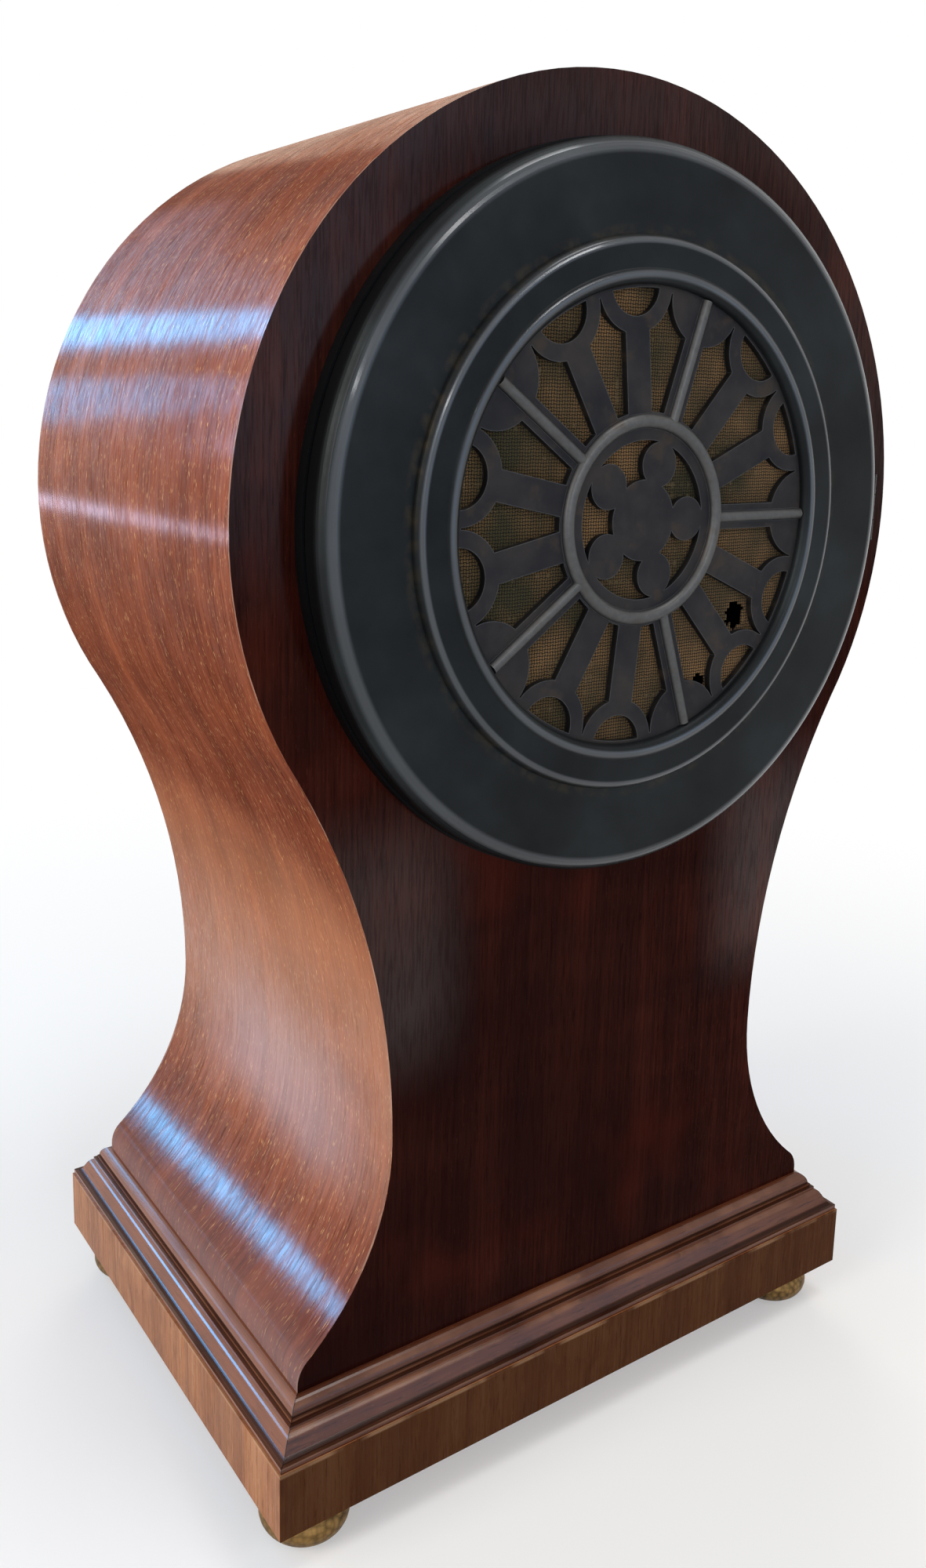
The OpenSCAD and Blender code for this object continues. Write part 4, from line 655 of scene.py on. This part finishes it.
def hazed_glass():
    finish = Finish("hazed_glass")
    x, y, z = finish.place()
    smear = finish.noise(x * 0.04, z * 0.09, 5.0, detail=5.0)
    return finish.shade(colour=GLASS_TINT, roughness=0.01 + 0.05 * smear.ramp(0.5, 0.8),
                        transmission_weight=1.0, ior=1.46)


def sound_cloth():
    finish = Finish("sound_cloth")
    x, y, z = finish.place()
    slub_x = finish.noise(x * 0.9, z * 0.05, 2.0) - 0.5
    slub_z = finish.noise(x * 0.05, z * 0.9, 4.0) - 0.5
    turns = 2 * math.pi / THREAD_PITCH
    warp = ((x + 0.5 * slub_z) * turns).wave()
    weft = ((z + 0.5 * slub_x) * turns).wave()
    over = (warp * weft).ramp(-0.5, 0.5)
    thread = over * abs(warp) + (1 - over) * abs(weft)
    tint = finish.noise(x * 0.045, z * 0.045, 9.0, detail=4.0)
    hue = finish.mix(thread.ramp(0.3, 0.85), CLOTH_GAP, finish.tones(tint, *CLOTH_TONES))
    hue = finish.mix((slub_x + slub_z).ramp(0.12, 0.3) * 0.5, hue, CLOTH_SLUB)
    return finish.shade(colour=hue, roughness=0.85 + 0.1 * tint, sheen_weight=0.08, specular_ior_level=0.1,
                        bump=finish.bump(thread, 0.2, 0.8))


print("enamel, ink, glass and cloth defined")

# %% [markdown]
# ## Dressing the frame
# Each mesh of the frame now takes its finish. A table from finish to names keeps this in one place, and the
# count printed at the end shows that nothing was forgotten.

# %% Assign the finishes
dressing = {
    side_veneer: "case_hood case_side_left case_side_right",
    back_wood: "case_back_board",
    front_wood: "case_front_board",
    boxwood_line(): "front_stringing",
    crossbanded_block(): "plinth_block",
    mitred_moulding(): "plinth_moulding",
    foot_brass: "foot_front_left foot_front_right foot_back_left foot_back_right",
    bronzed_dish(): "rear_door_dish rear_bezel_ring",
    bronzed_fret(): "rear_door_fret",
    sound_cloth(): "rear_door_cloth",
    bezel_brass: "front_bezel_ring front_bezel_door sight_ring cloth_ring",
    hazed_glass(): "front_glass",
    white_enamel(): "dial",
    blued_steel: "hour_hand minute_hand",
    bell_metal: "bell",
    screw_steel: "bezel_screws strap_screws movement_screws rear_hinge_pin front_hinge_pin",
    plate_brass: "dial_feet front_plate back_plate pillars back_cock bell_stand going_barrel strike_barrel "
                 "centre_wheel cannon_pinion minute_wheel hour_wheel third_wheel escape_wheel "
                 "strike_second_wheel pin_wheel fly pendulum_bob rating_nut",
    bright_steel: "movement_straps going_winding_arbor strike_winding_arbor going_click strike_click "
                  "going_mainspring strike_mainspring anchor suspension_spring pendulum_rod hammer",
}
dressed = set()
for material, names in dressing.items():
    for name in names.split():
        nodes[name].data.materials.clear()
        nodes[name].data.materials.append(material)
        dressed.add(name)
print("dressed", len(dressed), "of", len(nodes), "left:", sorted(set(nodes) - dressed))

# %% [markdown]
# ## The sound cloth
# Behind the fret hangs a coarse cloth that keeps dust out and lets the bell be heard. It is stretched over a
# ring, so it is nearly flat, with a slight billow between the bars, and moths have eaten two holes in it. A
# grid is cut to a disc, the holes are cut from it, and a solidify modifier gives the cloth its thickness.

# %% From a bmesh to a piece
def to_object(name, shape, material):
    """Turns a bmesh into an object of the scene."""
    mesh = bpy.data.meshes.new(name)
    shape.to_mesh(mesh)
    shape.free()
    mesh.materials.append(material)
    made = bpy.data.objects.new(name, mesh)
    bpy.context.scene.collection.objects.link(made)
    return made


def link(name, shape, material, body):
    """Turns a bmesh into a piece that rides on a body."""
    piece = to_object(name, shape, material)
    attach(piece, body)
    return piece


# %% Cloth piece
cloth_low, cloth_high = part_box("rear_door_cloth")
CLOTH_R = (cloth_high.x - cloth_low.x) / 2
CLOTH_Y = (cloth_low.y + cloth_high.y) / 2
CLOTH_MESHES = 150
HEM, BILLOW, CLOTH_THICK = 0.4 * MM, 0.16 * MM, 0.2 * MM
# Each hole: its place across and up from the centre, and its radius, in millimetres.
MOTH_HOLES = ((-30.4, -22.7, 2.9), (-20.4, -36.4, 1.5))
RAGGED = 0.495
# Waves to the metre of the ragged edges and of the billow.
RAGGED_WAVES, BILLOW_WAVES = 700, 55
RAGGED_SEED = 0.003

shape = bmesh.new()
bmesh.ops.create_grid(shape, x_segments=CLOTH_MESHES, y_segments=CLOTH_MESHES, size=CLOTH_R)
cut = []
for face in shape.faces:
    middle = face.calc_center_median()
    ragged = RAGGED * noise.noise(Vector((middle.x, middle.y, RAGGED_SEED)) * RAGGED_WAVES)
    outside = middle.xy.length > CLOTH_R - HEM
    for hole_x, hole_z, hole_r in MOTH_HOLES:
        away = (middle.xy / MM - Vector((hole_x, hole_z))).length
        outside = outside or away < hole_r * (1 + ragged)
    if outside:
        cut.append(face)
bmesh.ops.delete(shape, geom=cut, context="FACES")
bmesh.ops.rotate(shape, verts=shape.verts, matrix=Matrix.Rotation(math.radians(90), 3, "X"))
for vert in shape.verts:
    billow = noise.noise(vert.co * BILLOW_WAVES) * BILLOW
    vert.co += Vector((0, CLOTH_Y + billow, HEAD_Z))
bmesh.ops.recalc_face_normals(shape, faces=shape.faces)
cloth = link("stretched_cloth", shape, bpy.data.materials["sound_cloth"], "rear_door")
thickness = cloth.modifiers.new("thickness", "SOLIDIFY")
thickness.thickness = CLOTH_THICK
thickness.offset = 0
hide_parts("rear_door_cloth")
print("cloth radius", round(CLOTH_R / MM, 1), "mm")

# %% [markdown]
# ## The dial's numbers
# The front can't be seen in the picture, so it follows what such clocks have: an enamel dial with upright
# Roman numerals standing round a minute ring. A numeral is a handful of strokes, thick going down and thin
# going up, each one a flattened cube that is turned and moved to its place on the dial.

# %% Strokes and numerals
DIAL_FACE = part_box("dial")[0].y
INK = 0.05 * MM
NUMERAL_R, NUMERAL_H = 34.5 * MM, 10.0 * MM
THICK, THIN, SERIF = 1.5 * MM, 0.42 * MM, 1.1 * MM
LETTER_W = {"I": 2.3 * MM, "V": 5.6 * MM, "X": 5.8 * MM}
LETTER_GAP = 0.9 * MM


def stroke(shape, start, end, width, turn):
    """One flat stroke between two points of the numeral's own plane."""
    run = Vector(end) - Vector(start)
    made = bmesh.ops.create_cube(shape, size=1)["verts"]
    middle = (Vector(start) + Vector(end)) / 2
    tilt = Matrix.Rotation(math.atan2(run.y, run.x), 4, "Z")
    size = Matrix.Diagonal((run.length, width, INK, 1))
    bmesh.ops.transform(shape, matrix=turn @ Matrix.Translation(middle.to_3d()) @ tilt @ size, verts=made)


def numeral(shape, text, turn):
    """The letters of one hour side by side, with their serifs."""
    left, half = -sum(LETTER_W[letter] for letter in text) / 2, NUMERAL_H / 2
    for letter in text:
        middle, reach = left + LETTER_W[letter] / 2, LETTER_W[letter] / 2 - LETTER_GAP
        if letter == "I":
            stroke(shape, (middle, -half), (middle, half), THICK, turn)
            serifs = ((middle, half), (middle, -half))
        elif letter == "V":
            stroke(shape, (middle - reach, half), (middle, -half), THICK, turn)
            stroke(shape, (middle + reach, half), (middle, -half), THIN, turn)
            serifs = ((middle - reach, half), (middle + reach, half))
        else:
            stroke(shape, (middle - reach, half), (middle + reach, -half), THICK, turn)
            stroke(shape, (middle + reach, half), (middle - reach, -half), THIN, turn)
            serifs = [(middle + a * reach, b * half) for a in (-1, 1) for b in (-1, 1)]
        for at_x, at_y in serifs:
            stroke(shape, (at_x - SERIF, at_y), (at_x + SERIF, at_y), THIN, turn)
        left += LETTER_W[letter]


# %% Numerals and minute ring
HOURS = "XII I II III IIII V VI VII VIII IX X XI".split()
TICK_IN, TICK_OUT = 41.4 * MM, 43.4 * MM
TICK, FIVE_TICK = 0.3 * MM, 0.9 * MM
RINGS, RING_LINE = (41.3 * MM, 43.5 * MM), 0.22 * MM
# A ring is short straight strokes. Each reaches a little over half a step to both sides.
RING_STEPS, RING_REACH = 120, 0.52

on_dial = Matrix.Translation((0, DIAL_FACE - INK / 2, HEAD_Z)) @ Matrix.Rotation(math.radians(90), 4, "X")
shape = bmesh.new()
for hour, text in enumerate(HOURS):
    turn = on_dial @ Matrix.Rotation(math.radians(-30 * hour), 4, "Z")
    numeral(shape, text, turn @ Matrix.Translation((0, NUMERAL_R, 0)))
for minute in range(60):
    turn = on_dial @ Matrix.Rotation(math.radians(-6 * minute), 4, "Z")
    stroke(shape, (0, TICK_IN), (0, TICK_OUT), FIVE_TICK if minute % 5 == 0 else TICK, turn)
for ring_r in RINGS:
    for step in range(RING_STEPS):
        angles = [math.radians(360 / RING_STEPS * (step + k)) for k in (-RING_REACH, RING_REACH)]
        start, end = (Matrix.Rotation(angle, 2) @ Vector((ring_r, 0)) for angle in angles)
        stroke(shape, start, end, RING_LINE, on_dial)
bmesh.ops.recalc_face_normals(shape, faces=shape.faces)
numerals = link("dial_numerals", shape, fired_black(), "case")
print("numeral faces", len(numerals.data.polygons))

# %% [markdown]
# ## Winding hole eyelets
# Each winding hole in an enamel dial is finished with a small brass eyelet, so that the key doesn't chip the
# glaze. A quarter-round profile spun about the hole makes it.

# %% Eyelets
EYELET_R = 3.3 * MM
# Outwards from the hole and up from the dial, in millimetres.
EYELET_PROFILE = ((0.0, 0.0), (0.0, 0.45), (0.25, 0.62), (0.6, 0.62), (0.95, 0.4), (1.15, 0.0))
EYELET_STEPS = 48


def eyelet(name, arbor):
    """A brass eyelet round the hole in front of a winding arbor."""
    low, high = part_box(arbor)
    centre = Vector(((low.x + high.x) / 2, DIAL_FACE, (low.z + high.z) / 2))
    shape = bmesh.new()
    profile = [shape.verts.new((EYELET_R + out * MM, -over * MM, 0)) for out, over in EYELET_PROFILE]
    edges = [shape.edges.new(pair) for pair in zip(profile, profile[1:] + profile[:1])]
    bmesh.ops.spin(shape, geom=profile + edges, cent=(0, 0, 0), axis=(0, 1, 0), angle=2 * math.pi,
                   steps=EYELET_STEPS, use_merge=True)
    bmesh.ops.remove_doubles(shape, verts=shape.verts, dist=1e-7)
    bmesh.ops.translate(shape, verts=shape.verts, vec=centre)
    bmesh.ops.recalc_face_normals(shape, faces=shape.faces)
    return link(name, shape, bezel_brass, "case")


eyelets = [eyelet("going_eyelet", "going_winding_arbor"), eyelet("strike_eyelet", "strike_winding_arbor")]
print("eyelets:", [piece.name for piece in eyelets])

# %% [markdown]
# ## Floor and light
# The clock stands on a plain pale floor. A soft lamp to the camera's left lights the bent side and a second
# one the front. Five weak windows in front of the clock draw the cool bands on the hood and the flare: each
# stands where a mirror on the side would look from the camera, and leans as the band does. Two more behind
# the camera cool the back, and a top lamp and two strips draw the streaks along the edges of the turned door.
# Away from the clock the floor fades to the white of the backdrop, and close to the clock it keeps the
# shadow.

# %% Lamps
BLUE, COOL, PLAIN = (0.27, 0.57, 1.0), (0.72, 0.84, 1.0), (1.0, 1.0, 1.0)
SKY, LILAC = (0.08, 0.50, 1.0), (0.70, 0.70, 1.0)
WARM, AMBER = (1.0, 0.93, 0.84), (1.0, 0.85, 0.66)
LOOKS_AT = Vector((0, 0, 0.16))
# Name, place and size in metres, watts, colour, and how far it leans over in degrees.
LAMPS = (
    ("left", (1.30, 0.12, 0.70), (0.8, 1.0), 15, WARM, 0),
    ("high_window", (0.10, -1.20, 0.74), (0.5, 0.2), 0.6, BLUE, 0),
    ("upper_window", (0.367, -1.197, 0.666), (0.40, 0.10), 2.0, SKY, 47),
    ("middle_window", (0.46, -1.19, 0.44), (0.34, 0.12), 0.7, SKY, 40),
    ("low_window", (0.535, -1.155, 0.085), (0.32, 0.035), 0.35, LILAC, -9),
    ("lower_window", (0.836, -0.988, 0.385), (0.42, 0.13), 4.2, SKY, -6),
    ("front", (-0.75, -1.25, 0.75), (0.7, 0.7), 7, AMBER, 0),
    ("top", (-0.25, 0.30, 1.35), (0.4, 0.4), 4, PLAIN, 0),
    ("far_window", (-0.6, 1.3, 0.30), (0.8, 0.6), 1.2, BLUE, 0),
    ("strip", (0.95, 0.65, 0.30), (0.06, 0.6), 1.2, COOL, 0),
    ("long_strip", (-0.065, 1.18, 0.867), (1.4, 0.04), 3.6, PLAIN, 15),
    ("near_window", (0.33, 1.20, 0.35), (0.16, 0.5), 2.2, COOL, 0),
)
for name, place, size, watts, colour, lean in LAMPS:
    data = bpy.data.lights.new(name, "AREA")
    data.shape = "RECTANGLE"
    data.size, data.size_y = size
    data.energy = watts
    data.color = colour
    light = bpy.data.objects.new(name, data)
    bpy.context.scene.collection.objects.link(light)
    aim = (LOOKS_AT - Vector(place)).to_track_quat("-Z", "Y").to_matrix().to_4x4()
    light.matrix_world = Matrix.Translation(place) @ aim @ Matrix.Rotation(math.radians(lean), 4, "Z")
print("lamps:", [row[0] for row in LAMPS])

# %% Floor and backdrop
FLOOR_TONES = ((0.3, (0.84, 0.84, 0.84)), (0.7, (0.86, 0.86, 0.86)))
FLOOR_HALF = 6
# The share of white in the floor near the clock, and the radii between which it grows to all white.
FLOOR_FADES, NEAR_WHITE = (90.0, 480.0), 0.3
# The backdrop as a light, and as it is seen.
LIGHT_LEVEL, SEEN_LEVEL = 0.34, 1.0


def seen(tree):
    """1 for what the camera sees, straight, in metal or through glass."""
    rays = tree.nodes.new("ShaderNodeLightPath")
    total = rays.outputs["Is Camera Ray"]
    for output in ("Is Glossy Ray", "Is Transmission Ray"):
        either = tree.nodes.new("ShaderNodeMath")
        either.operation = "MAXIMUM"
        tree.links.new(total, either.inputs[0])
        tree.links.new(rays.outputs[output], either.inputs[1])
        total = either.outputs[0]
    return total


def pale_floor():
    finish = Finish("pale_floor")
    x, y, z = finish.place()
    cloud = finish.noise(x * 0.004, y * 0.004, detail=2.0)
    finish.shade(colour=finish.tones(cloud, *FLOOR_TONES), roughness=0.9)
    away = NEAR_WHITE + (1 - NEAR_WHITE) * x.radius(y).ramp(*FLOOR_FADES)
    white = finish.tree.nodes.new("ShaderNodeEmission")
    both = finish.tree.nodes.new("ShaderNodeMixShader")
    finish.put(both, 0, away * Sock(finish, seen(finish.tree)))
    finish.tree.links.new(finish.surface.outputs[0], both.inputs[1])
    finish.tree.links.new(white.outputs[0], both.inputs[2])
    finish.tree.links.new(both.outputs[0], finish.tree.nodes["Material Output"].inputs["Surface"])
    return finish.material


shape = bmesh.new()
bmesh.ops.create_grid(shape, x_segments=1, y_segments=1, size=FLOOR_HALF)
floor = to_object("floor", shape, pale_floor())

world = bpy.data.worlds.new("studio")
bpy.context.scene.world = world
world.use_nodes = True
backdrop = world.node_tree.nodes["Background"]
backdrop.inputs["Color"].default_value = (1, 1, 1, 1)
strength = world.node_tree.nodes.new("ShaderNodeMapRange")
strength.inputs["To Min"].default_value = LIGHT_LEVEL
strength.inputs["To Max"].default_value = SEEN_LEVEL
world.node_tree.links.new(seen(world.node_tree), strength.inputs["Value"])
world.node_tree.links.new(strength.outputs[0], backdrop.inputs["Strength"])
bpy.context.scene.view_settings.view_transform = "Standard"
print("floor and backdrop ready")
